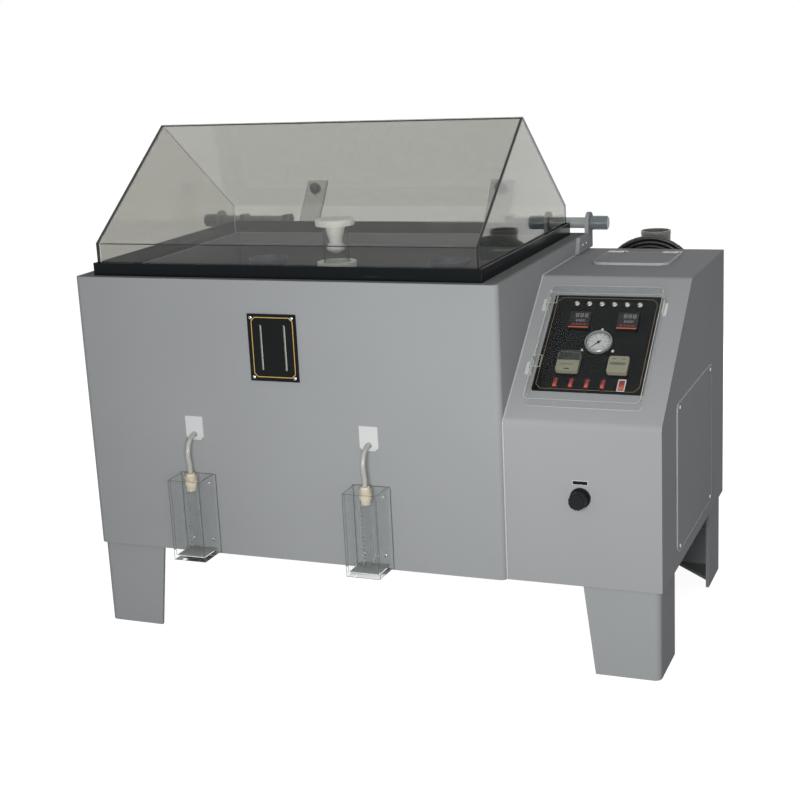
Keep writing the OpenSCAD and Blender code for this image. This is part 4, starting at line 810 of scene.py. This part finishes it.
# Pressure gauge: a pale dial with printed ticks and figures behind its glass.
dial_pale = finish("dial_face", (0.56, 0.575, 0.565), 0.45, 0.4, 300, 0.9, 0.02,
                   Specular_IOR_Level=0.1)
ink = finish("dial_ink", (0.02, 0.02, 0.022), 0.5, 0.4, 300, 0.8, 0.02)
dial, ticks = bmesh.new(), bmesh.new()
middle = Matrix.Translation((*gauge_at, 0))
turned(dial, [(1.4, 8.03), (27.7, 8.03), (27.7, 8.3), (1.4, 8.3)], middle, 48, closed=True)
turned(ticks, [(26.6, 8.2), (27.9, 8.2), (27.9, 8.36), (26.6, 8.36)], middle, 48, closed=True)
for i in range(51):
    turn = middle @ Matrix.Rotation(math.radians(225 - 5.4 * i), 4, "Z")
    thick, start = (0.6, 20) if i % 5 == 0 else (0.3, 22.5)
    block(ticks, (start, -thick, 8.28), (26, thick, 8.36), 0, turn)
for i in range(6):
    angle = math.radians(225 - 54 * i)
    figure_text(ticks, str(2 * i), 5.4, gauge_at[0] + 16 * math.cos(angle),
                gauge_at[1] + 16 * math.sin(angle), 8.36)
keep(dial, "gauge_dial", dial_pale, slope)
keep(ticks, "gauge_ticks", ink, slope)

# Rockers: red caps with a weak painted glow, standing in for light through their translucent plastic, more
# orange towards their lower end.
rocker_red_painted_glow = finish("rocker_red_painted_glow", (0.24, 0.012, 0.014), 0.25, 0.5, 300, 0.8, 0.05,
                    Emission_Strength=0.06)
rocker_tree = rocker_red_painted_glow.node_tree
here = node_in(rocker_tree, "ShaderNodeTexCoord").outputs["Object"]
up_slope = Vector((0, math.cos(slope.to_euler().x), math.sin(slope.to_euler().x)))
along = node_in(rocker_tree, "ShaderNodeVectorMath", {0: here, 1: up_slope},
                operation="DOT_PRODUCT").outputs["Value"]
foot = slope @ Vector((98, 95, 0))
head = slope @ Vector((98, 108, 0))
fade = node_in(rocker_tree, "ShaderNodeMapRange",
               {"Value": along, "From Min": foot.dot(up_slope), "From Max": head.dot(up_slope),
                "To Min": 1, "To Max": 0}).outputs[0]
rocker_shader = rocker_tree.nodes["Principled BSDF"]
plain_red = rocker_shader.inputs["Base Color"].links[0].from_socket
hue = node_in(rocker_tree, "ShaderNodeMix", {0: fade, 6: plain_red, 7: (0.6, 0.12, 0.08, 1)},
              data_type="RGBA").outputs[2]
rocker_tree.links.new(hue, rocker_shader.inputs["Base Color"])
rocker_tree.links.new(hue, rocker_shader.inputs["Emission Color"])
dress(rocker_red_painted_glow, "rocker_1", "rocker_2", "rocker_3", "rocker_4", "main_rocker")
soften("rocker_1", "rocker_2", "rocker_3", "rocker_4", "main_rocker", edge=0.0003)
white_bezel = bmesh.new()
outline(white_bezel, round_corners(237.2, 88.7, 254.8, 121.3, 2.5), 2.3, 5.95, 6.9)
bezel_white = finish("bezel_white", (0.62, 0.61, 0.57), 0.35, 0.5, 400, 0.85, 0.08)
keep(white_bezel, "mains_bezel", bezel_white, slope)

# Panel cover: a clear moulded box on two hinges at its left, with pale strips along its edges that are
# painted edge highlights.
cover_clear = clear("cover_sheet", (0.95, 0.96, 0.95), 0.02, 0.97, 1.1, 0.1, plain=True)
dress(cover_clear, "panel_cover")
soften("panel_cover")
cover_edges = bmesh.new()
outline(cover_edges, round_corners(39.8, 42.8, 300.2, 371.2, 14.2), 1.5, 0.5, 1.6)
outline(cover_edges, round_corners(40.6, 43.6, 299.4, 370.4, 13.4), 0.9, 27.1, 27.5)
for v in (130, 315):
    outline(cover_edges, [(38.3, v + 0.3), (61.7, v + 0.3), (61.7, v + 33.7), (38.3, v + 33.7)],
            1.1, 28.85, 29.2)
keep(cover_edges, "cover_edges", glue_and_edge_highlight, slope, "instrument_cover")

# Regulator: a black handwheel on its valve body, under a bare black plate.
knob_black = finish("knob_black", (0.008, 0.009, 0.011), 0.35, 0.6, 300, 0.6, 0.15,
                    Specular_IOR_Level=0.15)
dress(knob_black, "regulator_body", "regulator_knob", "cord_gland")
soften("regulator_body", "regulator_knob", "cord_gland", edge=0.0005)
blank = bmesh.new()
block(blank, (1215.5, 8.3, 443.2), (1248.5, 8.9, 450.8), 0.1)
keep(blank, "regulator_plate", plate_black, millimetres)

# Brine reservoir and exhaust: a milky tank that stands in the console under the hatch, and
# a grey pipe elbow out of its back whose cut mouth carries a pale ring, a painted rim highlight.
milk_tank = finish("reservoir_plastic", (0.75, 0.76, 0.74), 0.4, 0.5, 300, 0.9, 0.08)
dress(milk_tank, "brine_reservoir")
pipe_grey = finish("exhaust_pipe", (0.21, 0.21, 0.19), 0.35, 0.6, 500, 0.8, 0.06,
                   Specular_IOR_Level=0.15)
dress(pipe_grey, "exhaust_elbow")
soften("exhaust_elbow", "brine_reservoir", edge=0.0006)
mouth = bmesh.new()
turned(mouth, [(34.6, 872.9), (38, 872.9), (38, 873.3), (34.6, 873.3)],
       Matrix.Translation((1218, 845, 0)), 64, closed=True)
keep(mouth, "pipe_mouth", pale_edge_highlight, millimetres)
